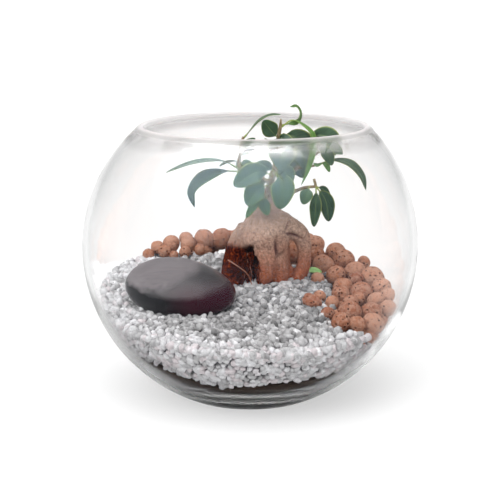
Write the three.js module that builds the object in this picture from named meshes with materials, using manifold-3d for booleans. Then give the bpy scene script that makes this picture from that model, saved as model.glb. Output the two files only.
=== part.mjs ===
// A planted glass bubble bowl: a small ficus on swollen aerial roots stands in potting soil that is
// dressed with crushed white marble, expanded clay pebbles and one smooth dark river stone.
// Millimetres, +Z up. The origin is the centre of the bowl's flat base, on the surface it stands on.
// -Y is the front, where the stone lies; +X is the side with the wide bed of clay pebbles.
import * as THREE from "three";
import { mergeVertices } from "three/addons/utils/BufferGeometryUtils.js";
import Module from "manifold-3d";

const wasm = await Module();
wasm.setup();

// ---------- driving dimensions ----------
const bowl = {
  radius: 125, // at the widest, outside
  equator: 112, // height of the widest circle above the base
  height: 203,
  lowerRise: 122.5, // vertical half axis of the outside below the widest circle
  upperRise: 123.25, // and above it
  wall: 4,
  belly: 3, // extra glass below the widest circle, in full only on the axis
  floor: 8.5, // height of the flat floor inside
  turn: 24, // how sharply the wall turns into that floor
  bead: 1.5, // extra glass at the melted lip
  lean: 3, // how far the mouth is blown off centre, to +X
};
const sidesRound = 36; // facets round the bowl and round everything poured into it
const gap = 0.3; // air between two pieces that touch on the real thing
const press = gap + 0.05; // how much larger a piece is where it presses a hollow into another

const chips = { spacing: 10.2, proud: 2.1, sunk: 0.7, jitter: 1.1, seed: 5 };

const clay = {
  bedDepth: 8, // how far the bed reaches down into the chips
  coreDrop: 4.5, // how far the fused core stays under the top of the pile
  largest: 9.2,
  smallest: 5,
  step: 0.6,
  tries: 700, // at each size
  crowding: 0.86, // distance between neighbours as a share of their two radii
  seed: 11,
  // the largest pebbles, as [x, y, radius]: along the back, then down the right side to the front
  chosen: [
    [-76, 82, 5.6],
    [-65, 88, 7.4],
    [-53, 96, 6],
    [-51, 87, 7],
    [-38, 95, 8.6],
    [-24, 98, 9.2],
    [-10, 99, 9.8],
    [53, 33, 5.4],
    [68, 42, 8.2],
    [72, 19, 7.8],
    [84, 47, 9],
    [97, 36, 9.8],
    [85, 8, 9.4],
    [102, 15, 8.8],
    [95, -8, 7.4],
    [103, -21, 7],
    [75, -14, 6.4],
    [73, -34, 9.4],
    [89, -30, 8.6],
    [88, -50, 8],
    [65, -54, 7.2],
    [76, -56, 6.4],
  ],
};

const stone = {
  centre: [-51, -20, 83],
  half: [42, 31, 19],
  tilt: [0.3, 0.12, -0.16], // radians about x, y and z
};

const blade = { thickness: 0.8, stemShare: 0.16, stemHalfWidth: 0.65, tipHalfWidth: 0.35, cup: 0.16 };

// ---------- small helpers ----------
// A repeatable stream of numbers from 0 to 1.
function seeded(seed) {
  let state = seed;
  return () => {
    state = (state + 0x6d2b79f5) | 0;
    let t = Math.imul(state ^ (state >>> 15), 1 | state);
    t = (t + Math.imul(t ^ (t >>> 7), 61 | t)) ^ t;
    return ((t ^ (t >>> 14)) >>> 0) / 4294967296;
  };
}

// The closed solid of a list of points and a list of corners, turned right side out.
function solidFrom(points, corners) {
  let volume = 0;
  const [a, b, c] = [new THREE.Vector3(), new THREE.Vector3(), new THREE.Vector3()];
  for (let i = 0; i < corners.length; i += 3) {
    a.fromArray(points, corners[i] * 3);
    b.fromArray(points, corners[i + 1] * 3);
    c.fromArray(points, corners[i + 2] * 3);
    volume += a.dot(b.cross(c));
  }
  const vertProperties = new Float32Array(points);
  const triVerts = new Uint32Array(volume < 0 ? [...corners].reverse() : corners);
  return new wasm.Manifold(new wasm.Mesh({ numProp: 3, vertProperties, triVerts }));
}

// The closed solid of a three.js geometry, its shared vertices merged.
function solidOf(geometry) {
  const bare = new THREE.BufferGeometry();
  bare.setAttribute("position", geometry.getAttribute("position").clone());
  if (geometry.index) bare.setIndex(geometry.index.clone());
  const merged = mergeVertices(bare, 1e-3);
  const all = merged.index.array;
  const corners = [];
  for (let i = 0; i < all.length; i += 3) {
    const [a, b, c] = [all[i], all[i + 1], all[i + 2]];
    if (a !== b && b !== c && c !== a) corners.push(a, b, c);
  }
  return solidFrom(Array.from(merged.getAttribute("position").array), corners);
}

// The three.js geometry of a solid.
function geometryOf(solid) {
  const { numProp, vertProperties, triVerts } = solid.getMesh();
  const points = new Float32Array((vertProperties.length / numProp) * 3);
  for (let i = 0; i < points.length / 3; i++) {
    points.set(vertProperties.subarray(i * numProp, i * numProp + 3), i * 3);
  }
  const geometry = new THREE.BufferGeometry();
  geometry.setAttribute("position", new THREE.BufferAttribute(points, 3));
  geometry.setIndex(new THREE.BufferAttribute(triVerts, 1));
  return geometry;
}

// The largest body of a solid: scraps that a cut leaves loose are dropped.
function mainBody(solid) {
  return solid.decompose().sort((a, b) => b.volume() - a.volume())[0];
}

function fuse(solids) {
  return wasm.Manifold.union(solids);
}

// A solid of revolution about Z from a profile of [radius, height] pairs.
function turned(profile) {
  const points = profile.map(([r, z]) => new THREE.Vector2(Math.max(r, 0), z));
  const geometry = new THREE.LatheGeometry(points, sidesRound);
  geometry.rotateX(Math.PI / 2);
  return solidOf(geometry);
}

// A limb through stations [x, y, z, radius], made fatter all over by grow.
function limb(stations, sides, grow = 0) {
  const centres = stations.map(([x, y, z]) => new THREE.Vector3(x, y, z));
  const front = new THREE.Vector3(0.1, 1, 0.05);
  const points = [];
  for (const [k, centre] of centres.entries()) {
    const ahead = centres[Math.min(k + 1, centres.length - 1)];
    const behind = centres[Math.max(k - 1, 0)];
    const along = ahead.clone().sub(behind).normalize();
    const across = new THREE.Vector3().crossVectors(front, along).normalize();
    const deep = new THREE.Vector3().crossVectors(along, across);
    const end = (k === 0 ? -1 : k === centres.length - 1 ? 1 : 0) * grow;
    for (let i = 0; i < sides; i++) {
      const turn = (2 * Math.PI * (i + 0.5)) / sides;
      const radius = stations[k][3] + grow;
      const point = centre.clone().addScaledVector(along, end);
      point.addScaledVector(across, radius * Math.cos(turn));
      point.addScaledVector(deep, radius * Math.sin(turn));
      points.push(...point.toArray());
    }
  }
  const corners = [];
  for (let k = 0; k + 1 < stations.length; k++) {
    for (let i = 0; i < sides; i++) {
      const [a, b] = [k * sides + i, k * sides + ((i + 1) % sides)];
      corners.push(a, b, b + sides, a, b + sides, a + sides);
    }
  }
  const last = (stations.length - 1) * sides;
  for (let i = 1; i + 1 < sides; i++) {
    corners.push(0, i + 1, i, last, last + i, last + i + 1);
  }
  return solidFrom(points, corners);
}

// ---------- the bowl ----------
// Distance from the middle of the bowl to its outside, at an angle above the widest circle.
function outsideReach(angle) {
  const rise = angle < 0 ? bowl.lowerRise : bowl.upperRise;
  return 1 / Math.hypot(Math.cos(angle) / bowl.radius, Math.sin(angle) / rise);
}

// Distance from the middle of the bowl to its inside, which runs smoothly into a flat floor.
function insideReach(angle) {
  const side = outsideReach(angle) - bowl.wall;
  if (angle >= 0) return side - bowl.bead * (angle / rimAngle) ** 8;
  const down = Math.sin(-angle);
  const wall = side - bowl.belly * down ** 2;
  const flat = (bowl.equator - bowl.floor) / down;
  return wall * (1 + (wall / flat) ** bowl.turn) ** (-1 / bowl.turn);
}

function outsidePoint(angle) {
  const reach = outsideReach(angle);
  return [reach * Math.cos(angle), bowl.equator + reach * Math.sin(angle)];
}

function insidePoint(angle, clear = 0) {
  const reach = insideReach(angle) - clear;
  return [reach * Math.cos(angle), bowl.equator + reach * Math.sin(angle)];
}

const lipRadius = (bowl.wall + bowl.bead) / 2;
const rimRise = bowl.height - bowl.equator - 0.28 * lipRadius; // the lip stands a little above this edge
const rimAngle = Math.atan2(rimRise, bowl.radius * Math.sqrt(1 - (rimRise / bowl.upperRise) ** 2));
const baseRadius = bowl.radius * Math.sqrt(1 - (bowl.equator / bowl.lowerRise) ** 2);
const baseAngle = -Math.atan2(bowl.equator, baseRadius);

function arc(point, from, to, steps) {
  return Array.from({ length: steps + 1 }, (_, i) => point(from + ((to - from) * i) / steps));
}

function glassBowl() {
  const [outerLip, innerLip] = [outsidePoint(rimAngle), insidePoint(rimAngle)];
  const middle = [(outerLip[0] + innerLip[0]) / 2, (outerLip[1] + innerLip[1]) / 2];
  const across = Math.atan2(outerLip[1] - middle[1], outerLip[0] - middle[0]);
  const lip = [0.25, 0.5, 0.75].map((share) => {
    const turn = across + Math.PI * share; // the melted lip is half a circle over the two edges
    return [middle[0] + lipRadius * Math.cos(turn), middle[1] + lipRadius * Math.sin(turn)];
  });
  const upright = turned([
    [0, 0],
    [baseRadius - 2, 0],
    [baseRadius + 0.7, 1.2],
    ...arc(outsidePoint, baseAngle + 0.03, 0, 6),
    ...arc(outsidePoint, 0, rimAngle, 5).slice(1),
    ...lip,
    ...arc(insidePoint, rimAngle, 0, 5),
    ...arc(insidePoint, 0, -Math.PI / 2, 10).slice(1),
  ]);
  return upright.warp((point) => {
    const share = Math.max(0, point[2] - bowl.equator) / (bowl.height - bowl.equator);
    point[0] += bowl.lean * share ** 2;
  });
}

// The space inside the glass up to its widest circle, drawn in by the gap.
function bowlCavity() {
  const wallSide = arc((angle) => insidePoint(angle, gap), -Math.PI / 2, 0, 10);
  return turned([...wallSide, [0, bowl.equator]]);
}

// ---------- the ground ----------
function hill(x, y, cx, cy, reach) {
  return Math.exp(-((x - cx) ** 2 + (y - cy) ** 2) / (reach * reach));
}

// Height of the dressed surface: it rises to the back and the left, with a mound round the roots.
function groundAt(x, y) {
  return 73 + 0.13 * y - 0.035 * x + 4 * hill(x, y, 12, 24, 42) + 1.2 * Math.sin(0.06 * x + 0.04 * y);
}

// Height of the potting soil: it also rises to the back, and meets the front glass in a wavy line.
function soilAt(x, y) {
  const wave = 7 * hill(x, y, -72, -58, 28) - 5 * hill(x, y, -21, -85, 16) - 6 * hill(x, y, 88, -58, 20);
  return 33 + 0.2 * (y + 88) + wave;
}

// Height of the pile of clay pebbles, which is heaped up against the back of the glass.
function pileAt(x, y) {
  return groundAt(x, y) + 3 + 7 * THREE.MathUtils.clamp((y - 40) / 60, 0, 1);
}

// Everything between a floor and a height function, on a triangular lattice that reaches past the glass.
// place(i, j) may move a lattice point and raise it: it gives [dx, dy, dz].
function under(heightAt, spacing, place = () => [0, 0, 0]) {
  const [floor, rowHeight] = [-20, spacing * Math.sqrt(0.75)];
  const rows = Math.ceil((2 * (bowl.radius + 2)) / rowHeight);
  const columns = Math.ceil((2 * (bowl.radius + 2)) / spacing) + 1;
  const points = [];
  for (const top of [true, false]) {
    for (let j = 0; j <= rows; j++) {
      for (let i = 0; i <= columns; i++) {
        const x = (i - columns / 2 + (j % 2) / 2) * spacing;
        const y = (j - rows / 2) * rowHeight;
        const inner = i > 0 && j > 0 && i < columns && j < rows;
        const [dx, dy, dz] = inner ? place(i, j) : [0, 0, 0];
        points.push(x + dx, y + dy, top ? heightAt(x + dx, y + dy) + dz : floor);
      }
    }
  }
  const at = (i, j) => j * (columns + 1) + i;
  const size = (rows + 1) * (columns + 1);
  const corners = [];
  const bothSides = (a, b, c) => corners.push(a, b, c, a + size, c + size, b + size);
  const wall = (a, b) => corners.push(a, a + size, b + size, a, b + size, b);
  for (let j = 0; j < rows; j++) {
    for (let i = 0; i < columns; i++) {
      const [a, b, c, d] = [at(i, j), at(i + 1, j), at(i + 1, j + 1), at(i, j + 1)];
      if (j % 2) {
        bothSides(a, b, c);
        bothSides(a, c, d);
      } else {
        bothSides(a, b, d);
        bothSides(b, c, d);
      }
    }
    wall(at(0, j + 1), at(0, j));
    wall(at(columns, j), at(columns, j + 1));
  }
  for (let i = 0; i < columns; i++) {
    wall(at(i, 0), at(i + 1, 0));
    wall(at(i + 1, rows), at(i, rows));
  }
  return solidFrom(points, corners);
}

// A lattice whose every third point is the peak of a chip, and the others the cracks round it.
function chipPlace() {
  const random = seeded(chips.seed);
  const moves = new Map();
  return (i, j) => {
    const key = `${i},${j}`;
    if (!moves.has(key)) {
      const across = i - Math.floor(j / 2); // column of the lattice, counted along a slanted row
      const peak = (((across - j) % 3) + 3) % 3 === 0;
      const shift = () => (random() - 0.5) * 2 * chips.jitter;
      const lift = peak ? chips.proud * (0.5 + random()) : -chips.sunk * random();
      moves.set(key, [shift(), shift(), lift]);
    }
    return moves.get(key);
  };
}

// ---------- the bed of clay pebbles ----------
// Its edge in plan, from the glass at the front right, past the roots, to the glass at the back left.
const clayEdge = new THREE.CatmullRomCurve3(
  [
    [112, -62],
    [92, -68],
    [74, -69],
    [59, -62],
    [55, -42],
    [61, -20],
    [63, 4],
    [60, 20],
    [58, 36],
    [60, 50],
    [46, 63],
    [12, 75],
    [-20, 84],
    [-50, 85],
    [-72, 86],
    [-90, 94],
    [-115, 112],
  ].map(([x, y]) => new THREE.Vector3(x, y, 0)),
);

// The plan of the bed as a closed polygon, moved out by grow, its back corners outside the glass.
function clayPlan(grow) {
  const steps = 28;
  const edge = Array.from({ length: steps + 1 }, (_, i) => {
    const at = clayEdge.getPoint(i / steps);
    const along = clayEdge.getTangent(i / steps);
    return new THREE.Vector2(at.x - along.y * grow, at.y + along.x * grow);
  });
  const far = 150;
  const outside = [
    [-far, far],
    [far, far],
    [far, edge[0].y],
  ];
  return [...edge, ...outside.map(([x, y]) => new THREE.Vector2(x, y))];
}

function isInPlan(plan, x, y) {
  let inside = false;
  for (let i = 0, j = plan.length - 1; i < plan.length; j = i++) {
    const [p, q] = [plan[i], plan[j]];
    if (p.y > y !== q.y > y && x < ((q.x - p.x) * (y - p.y)) / (q.y - p.y) + p.x) inside = !inside;
  }
  return inside;
}

// The block of the bed between the chips below it and the foot of its visible pebbles.
function clayBlock(grow) {
  const options = { depth: 160, bevelEnabled: false };
  const geometry = new THREE.ExtrudeGeometry(new THREE.Shape(clayPlan(grow)), options);
  const column = solidOf(geometry);
  return column.subtract(under((x, y) => groundAt(x, y) - clay.bedDepth - grow, 17));
}

// Pebbles as [x, y, z, radius]: after the chosen ones, each is dropped where it finds room, big ones first.
function clayBalls() {
  const random = seeded(clay.seed);
  const balls = clay.chosen.map(([x, y, radius]) => [x, y, pileAt(x, y) - 0.1 * radius, radius]);
  for (let radius = clay.largest; radius >= clay.smallest; radius -= clay.step) {
    const plan = clayPlan(-0.55 * radius);
    for (let i = 0; i < clay.tries; i++) {
      const [x, y] = [(2 * random() - 1) * bowl.radius, (2 * random() - 1) * bowl.radius];
      const z = pileAt(x, y) + radius * (0.3 * random() - 0.25);
      const room = insideRadiusAt(z) - radius - gap;
      const isApart = ([bx, by, bz, br]) => {
        return Math.hypot(x - bx, y - by, z - bz) > clay.crowding * (radius + br);
      };
      if (Math.hypot(x, y) < room && isInPlan(plan, x, y) && balls.every(isApart)) {
        balls.push([x, y, z, radius]);
      }
    }
  }
  return balls;
}

function insideRadiusAt(height) {
  let [low, high] = [-Math.PI / 2, 0];
  for (let i = 0; i < 20; i++) {
    const middle = (low + high) / 2;
    if (insidePoint(middle)[1] < height) low = middle;
    else high = middle;
  }
  return insidePoint(low)[0];
}

function ball([x, y, z, radius], grow, detail = 0) {
  const geometry = new THREE.IcosahedronGeometry((radius + grow) * (detail ? 1 : 1.1), detail);
  geometry.rotateZ(x + y);
  geometry.rotateX(x - y);
  geometry.translate(x, y, z);
  return solidOf(geometry);
}

function clayBed(grow) {
  const core = clayBlock(grow).intersect(under((x, y) => pileAt(x, y) - clay.coreDrop + grow, 17));
  return fuse([core, ...clayBalls().map((spot) => ball(spot, grow))]);
}

// ---------- the stone and the loose pieces ----------
// An egg-like stone, flatter below, blunter at its left end.
function riverStone(grow) {
  const geometry = new THREE.SphereGeometry(1, 18, 11);
  geometry.rotateX(Math.PI / 2);
  const place = geometry.getAttribute("position");
  for (let i = 0; i < place.count; i++) {
    const [x, y, z] = [place.getX(i), place.getY(i), place.getZ(i)];
    const slim = 1 - 0.1 * x - 0.05 * x * x;
    const low = z < 0 ? 0.92 : 1;
    place.setXYZ(
      i,
      x * (stone.half[0] + grow),
      y * (stone.half[1] * slim + grow),
      z * (stone.half[2] * slim * low + grow),
    );
  }
  geometry.rotateX(stone.tilt[0]);
  geometry.rotateY(stone.tilt[1]);
  geometry.rotateZ(stone.tilt[2]);
  geometry.translate(...stone.centre);
  return solidOf(geometry);
}

// ---------- the trunk ----------
// Each limb of the swollen trunk as stations [x, y, z, radius], from the top down.
const trunkLimbs = {
  body: [
    [14, 30, 151, 4.4],
    [14, 30, 142, 5.6],
    [13, 30, 135, 9.5],
    [12.5, 30, 128, 15],
    [12, 30, 118, 20.5],
    [8, 31, 108, 20],
    [8, 34, 99, 9],
  ],
  leftRoot: [
    [0, 30, 116, 12],
    [-9, 28, 104, 9.5],
    [-13.5, 24, 93, 7.5],
    [-16, 18, 82, 6.5],
    [-17, 13, 72, 5.5],
    [-16, 11, 56, 2.6],
  ],
  middleRoot: [
    [9, 24, 114, 12.5],
    [10.5, 20, 103, 10.5],
    [11.5, 18, 92, 9.2],
    [10.5, 16, 83, 6.8],
    [8, 15, 76, 3.6],
    [8, 15, 66, 3],
    [9, 16, 54, 1.8],
  ],
  innerRoot: [
    [19, 29, 114, 11.5],
    [21, 27, 102, 9],
    [21.5, 26, 90, 9],
    [21, 26, 80, 8.6],
    [20, 27, 68, 5],
    [20, 28, 54, 2.2],
  ],
  rightRoot: [
    [17, 30, 126, 11],
    [28, 31, 120, 9.5],
    [38, 31, 114, 7.8],
    [42, 31, 105, 6],
    [42.3, 31, 96, 5.4],
    [40, 31, 86, 5.4],
    [36.5, 31, 76, 5.2],
    [34, 32, 64, 3.8],
    [33, 32, 54, 2],
  ],
  spur: [
    [26, 33, 92, 4],
    [29.5, 34, 84, 5],
    [30, 35, 74, 4.5],
    [29, 35, 62, 2.5],
  ],
  backLeftRoot: [
    [2, 42, 114, 12],
    [-3, 46, 100, 9],
    [-6, 49, 87, 7.5],
    [-8, 51, 73, 5.5],
    [-9, 52, 58, 2.4],
  ],
  backRightRoot: [
    [18, 42, 114, 12],
    [23, 48, 100, 8.5],
    [26, 52, 86, 6.5],
    [28, 55, 72, 5],
    [29, 56, 60, 2.4],
  ],
};

function trunk(grow) {
  return fuse(Object.values(trunkLimbs).map((stations) => limb(stations, 8, grow)));
}

// ---------- leaves ----------
// Half the width of a blade, as a share of its largest, at a share t of its length: the less the
// fullness, the blunter its two ends.
function bladeShape(t, fullness) {
  const s = THREE.MathUtils.clamp((t - blade.stemShare) / (1 - blade.stemShare), 0, 1);
  return Math.pow(Math.sin(Math.PI * s), fullness) * (1 + 0.1 * Math.sin(2 * Math.PI * s));
}

// A leaf along a path of points, its upper side turned to the vector facing, its two halves cupped,
// made larger all over by grow.
function leaf({ path, width, facing }, grow = 0) {
  const curve = new THREE.CatmullRomCurve3(path.map((point) => new THREE.Vector3(...point)));
  const isLong = path.length > 3;
  const [steps, fullness] = isLong ? [8, 0.85] : [6, 0.6];
  const up = new THREE.Vector3(...facing);
  const points = [];
  for (let k = 0; k <= steps; k++) {
    const t = k / steps;
    const [centre, along] = [curve.getPointAt(t), curve.getTangentAt(t)];
    const across = new THREE.Vector3().crossVectors(along, up).normalize();
    const normal = new THREE.Vector3().crossVectors(across, along);
    const least = k === steps ? blade.tipHalfWidth : blade.stemHalfWidth;
    const half = Math.max((width / 2) * bladeShape(t, fullness), least) + grow;
    centre.addScaledVector(along, (k === 0 ? -1 : k === steps ? 1 : 0) * grow);
    for (const side of [0.5, -0.5]) {
      for (const share of [-1, 0, 1]) {
        const lift = side * (blade.thickness + 2 * grow) + blade.cup * half * Math.abs(share);
        const point = centre.clone().addScaledVector(across, share * half).addScaledVector(normal, lift);
        points.push(...point.toArray());
      }
    }
  }
  const corners = [];
  for (let k = 0; k < steps; k++) {
    const [a, b] = [k * 6, k * 6 + 6];
    for (const [left, right] of [[0, 1], [2, 1]]) {
      const turn = left < right;
      for (const under of [0, 3]) {
        const flip = turn === (under === 0);
        const [p, q, r, s] = [a + left + under, a + right + under, b + right + under, b + left + under];
        corners.push(...(flip ? [p, q, r, p, r, s] : [p, r, q, p, s, r]));
      }
    }
    corners.push(a, b, b + 3, a, b + 3, a + 3, a + 2, b + 5, b + 2, a + 2, a + 5, b + 5);
  }
  const last = steps * 6;
  corners.push(0, 3, 4, 0, 4, 1, 1, 4, 5, 1, 5, 2);
  corners.push(last, last + 4, last + 3, last, last + 1, last + 4);
  corners.push(last + 1, last + 5, last + 4, last + 1, last + 2, last + 5);
  return solidFrom(points, corners);
}

const toFront = [0, -1, 0.3];
const toSky = [0, -0.25, 1];

// Every leafy shoot: its twigs as limbs, and its leaves.
const shoots = {
  shoot_left: {
    twigs: [
      [
        [11, 29, 146, 1.9], [5, 27, 153, 1.8], [-2, 25, 160, 1.6],
        [-7.5, 24, 168, 1.5], [-8, 23, 179, 1.3], [-5, 21, 191, 1],
      ],
    ],
    leaves: [
      {
        path: [[-6, 21.5, 189], [7, 19, 203], [14.5, 17, 207.5], [23, 15, 208.5]],
        width: 13,
        facing: [-0.5, -0.2, 1],
      },
      {
        path: [[-8, 23, 168], [-18, 19, 175], [-28, 16, 177], [-42, 12, 175], [-63, 8, 166.5]],
        width: 11,
        facing: toSky,
      },
      {
        path: [
          [-8, 24, 166], [-23, 16, 166.5], [-36.5, 11, 160.5],
          [-43.5, 8, 151.5], [-41.5, 7, 139.5],
        ],
        width: 15,
        facing: [-0.7, -0.6, 0.4],
      },
      { path: [[-7, 23, 172], [-3, 17, 174], [2, 12, 173]], width: 8, facing: toFront },
      { path: [[-7, 24, 181], [-1, 22, 187], [4, 20, 190]], width: 5, facing: toFront },
    ],
  },
  shoot_front: {
    twigs: [
      [[14, 27, 145, 1.8], [14, 20, 150, 1.7], [15, 16, 158, 1.6], [18, 14, 166, 1.4]],
      [[14, 20, 149, 1.4], [10, 16, 146, 1.1]],
    ],
    leaves: [
      { path: [[17, 14, 164], [6, 8, 168], [-12, 3, 157]], width: 18, facing: toFront },
      { path: [[18, 14, 167], [10, 12, 173.5], [3, 11, 173]], width: 9, facing: toFront },
      { path: [[14, 16, 156], [5, 11, 152], [-2, 7, 141]], width: 16, facing: toFront },
      { path: [[18, 14, 166], [24, 8, 160], [22.5, 3, 139]], width: 18, facing: toFront },
      { path: [[13, 18, 147], [11, 14, 141], [13.5, 10, 133]], width: 9, facing: toFront },
      { path: [[10, 16, 146], [3, 13, 140], [-3, 11, 131]], width: 6, facing: toFront },
      { path: [[18, 14, 165], [26, 11, 168], [30, 9, 157]], width: 13, facing: [0.3, -1, 0.5] },
    ],
  },
  shoot_top: {
    twigs: [
      [
        [14, 30, 148, 2.6], [17, 30, 162, 2.2], [20, 28, 176, 1.8],
        [21.5, 27, 190, 1.5], [23, 26, 199, 1.2], [23.3, 26, 204, 0.5],
      ],
    ],
    leaves: [
      { path: [[21.5, 27, 189], [15, 28, 196], [10, 28, 202.5]], width: 13, facing: toFront },
      {
        path: [
          [23, 26, 197], [32, 23, 203.5], [40, 20, 200], [47, 17, 193],
          [46.5, 14, 184], [43.5, 12, 170], [38.5, 11, 156],
        ],
        width: 6.5,
        facing: [0.6, -0.5, 0.6],
      },
      {
        path: [[23, 26.5, 199], [36, 26, 202.5], [38, 26, 208.5], [35, 26, 213.5], [30, 26, 213]],
        width: 6,
        facing: [1, -0.4, 0.3],
      },
      {
        path: [[21.5, 27, 187], [24, 18, 190.5], [24, 11, 181], [23, 6.5, 168.5]],
        width: 21,
        facing: toFront,
      },
      {
        path: [[22, 27, 192], [33, 24, 191], [40, 20, 181], [41.5, 17.5, 168]],
        width: 21,
        facing: toFront,
      },
      { path: [[20.5, 28, 180], [17, 34, 186], [14, 42, 186]], width: 12, facing: [0, 0.4, 1] },
    ],
  },
  shoot_right: {
    twigs: [
      [
        [17, 31, 147, 2], [26, 33, 157, 1.9], [36, 31, 168, 1.7],
        [46, 26, 178, 1.4], [52, 22, 185, 1.1],
      ],
      [[36, 31, 168, 1.5], [46, 26, 170, 1.2], [54, 22, 173, 1]],
    ],
    leaves: [
      {
        path: [[52, 22, 184], [50, 21, 192], [59, 18, 191], [69.5, 15, 182]],
        width: 15,
        facing: toFront,
      },
      { path: [[52, 22, 184], [56, 16, 187], [61.5, 14, 172]], width: 10, facing: [-0.3, -1, 0.2] },
      {
        path: [[52.5, 22.7, 172.6], [63, 19, 176.5], [75, 15, 173], [84, 12.5, 163], [87.5, 12, 152]],
        width: 12,
        facing: [0.5, -0.5, 0.7],
      },
      { path: [[53.5, 22.2, 172.8], [57, 18, 173], [60, 16, 166]], width: 4.5, facing: toFront },
      { path: [[51, 23.5, 172], [51, 18, 173.5], [50, 14, 171]], width: 7, facing: [0, -0.6, 0.8] },
      { path: [[46, 26, 178], [56, 34, 184], [66, 40, 179]], width: 13, facing: [0, 0.5, 1] },
    ],
  },
  shoot_low_right: {
    twigs: [
      [[17, 29, 143, 1.8], [31, 25, 148, 1.5], [42, 21, 153, 1.3], [50, 19, 154, 1.1]],
      [[50, 19, 154, 1.1], [48.5, 20, 160, 1]],
    ],
    leaves: [
      { path: [[50, 18.5, 154], [50, 15, 144], [48.5, 13, 123.5]], width: 9, facing: [-0.2, -1, 0.2] },
      { path: [[50, 19, 154], [57, 18, 144], [60, 16, 127]], width: 13, facing: [0.4, -1, 0.2] },
      { path: [[45, 19, 154], [43, 15, 149], [40, 13, 141]], width: 10, facing: toFront },
      { path: [[50, 19.5, 154], [56, 22, 151], [62, 23, 142.5]], width: 7, facing: [0.5, -0.6, 0.4] },
    ],
  },
  shoot_back: {
    twigs: [
      [[14, 33, 145, 2], [17, 40, 155, 1.8], [22, 44, 166, 1.5], [28, 45, 176, 1.1]],
      [[16, 39, 153, 1.4], [6, 46, 160, 1.2], [-2, 50, 166, 1]],
    ],
    leaves: [
      { path: [[28, 45, 175], [37, 42, 184], [49, 40, 181]], width: 17, facing: toFront },
      { path: [[22, 44, 166], [34, 41, 168], [42, 40, 158]], width: 12, facing: toFront },
      { path: [[28, 45, 175], [30, 54, 182], [32, 64, 176]], width: 14, facing: [0, 0.3, 1] },
      { path: [[-2, 50, 166], [-12, 54, 172], [-24, 57, 166]], width: 14, facing: [0, 0.2, 1] },
      { path: [[-1, 50, 165], [-3, 60, 168], [-6, 70, 158]], width: 15, facing: [0, 0.6, 1] },
      { path: [[20, 43, 163], [24, 54, 162], [28, 62, 150]], width: 14, facing: [0, 0.7, 0.8] },
      { path: [[17, 41, 156], [8, 52, 154], [4, 60, 144]], width: 13, facing: [0, 0.8, 0.6] },
    ],
  },
};

const fallenLeaf = {
  path: [[42, 50, 80], [49, 48, 81.5], [57, 45, 80.5]],
  width: 7,
  facing: [0.1, -0.5, 1],
};
const strayPebble = [46, -20, 73.5, 6.2];

// ---------- putting it together ----------
const cavity = bowlCavity();
const group = new THREE.Group();

function addPiece(name, solid, look) {
  const mesh = new THREE.Mesh(geometryOf(solid), new THREE.MeshStandardMaterial({ metalness: 0, ...look }));
  mesh.name = name;
  group.add(mesh);
}

const trunkHollow = trunk(press);
const stoneHollow = riverStone(press);
const strayHollow = ball(strayPebble, press, 1);
const leafHollow = leaf(fallenLeaf, press);

const soil = under(soilAt, 17).intersect(cavity).subtract(trunkHollow);

const gravel = under(groundAt, chips.spacing / Math.sqrt(3), chipPlace())
  .intersect(cavity)
  .subtract(under((x, y) => soilAt(x, y) + gap, 17))
  .subtract(clayBlock(press))
  .subtract(clayBed(press))
  .subtract(trunkHollow)
  .subtract(stoneHollow)
  .subtract(strayHollow)
  .subtract(leafHollow);

const pebbles = clayBed(0).intersect(cavity).subtract(trunkHollow).subtract(leafHollow);

addPiece("glass_bowl", glassBowl(), { color: 0xe9eef0, roughness: 0.03, transparent: true, opacity: 0.3 });
addPiece("soil", mainBody(soil), { color: 0x2e241d, roughness: 0.95 });
addPiece("gravel", mainBody(gravel), { color: 0xc9c8c8, roughness: 0.8 });
addPiece("clay_pebbles", mainBody(pebbles), { color: 0xb9734f, roughness: 0.9 });
addPiece("stray_clay_pebble", ball(strayPebble, 0, 1), { color: 0xb9734f, roughness: 0.9 });
addPiece("river_stone", riverStone(0), { color: 0x4a4748, roughness: 0.35 });
addPiece("ficus_trunk", mainBody(trunk(0)), { color: 0x9c7c68, roughness: 0.75 });
for (const [name, { twigs, leaves }] of Object.entries(shoots)) {
  const parts = [...twigs.map((stations) => limb(stations, 5)), ...leaves.map((shape) => leaf(shape))];
  addPiece(name, mainBody(fuse(parts).subtract(trunkHollow)), { color: 0x3f6b3c, roughness: 0.45 });
}
addPiece("fallen_leaf", leaf(fallenLeaf), { color: 0x9db56b, roughness: 0.5 });

export default group;
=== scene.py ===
"""A planted glass bubble bowl: a small ficus on swollen roots in potting soil, dressed with crushed
marble, clay pebbles and one river stone. Shapes are worked out in millimetres and stored in metres."""

import math

import bpy
import numpy as np
from bpy.props import FloatProperty, FloatVectorProperty, IntProperty, PointerProperty
from mathutils import Euler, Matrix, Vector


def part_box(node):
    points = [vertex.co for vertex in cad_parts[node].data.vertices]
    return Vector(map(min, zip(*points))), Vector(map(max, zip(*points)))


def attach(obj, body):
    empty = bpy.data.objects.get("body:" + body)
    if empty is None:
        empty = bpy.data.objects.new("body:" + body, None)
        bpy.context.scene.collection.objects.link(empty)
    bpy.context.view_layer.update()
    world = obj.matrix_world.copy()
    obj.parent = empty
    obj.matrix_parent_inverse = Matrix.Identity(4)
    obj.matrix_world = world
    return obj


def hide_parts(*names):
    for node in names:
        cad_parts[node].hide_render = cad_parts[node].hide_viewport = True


bl_info = {
    "name": "Planted Glass Bowl",
    "version": (1, 0, 0),
    "blender": (4, 5, 0),
    "location": "3D View > Sidebar > Planted Bowl",
    "description": "A glass bubble bowl planted with a small ficus and dressed with stones",
    "category": "Add Mesh",
}

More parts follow.
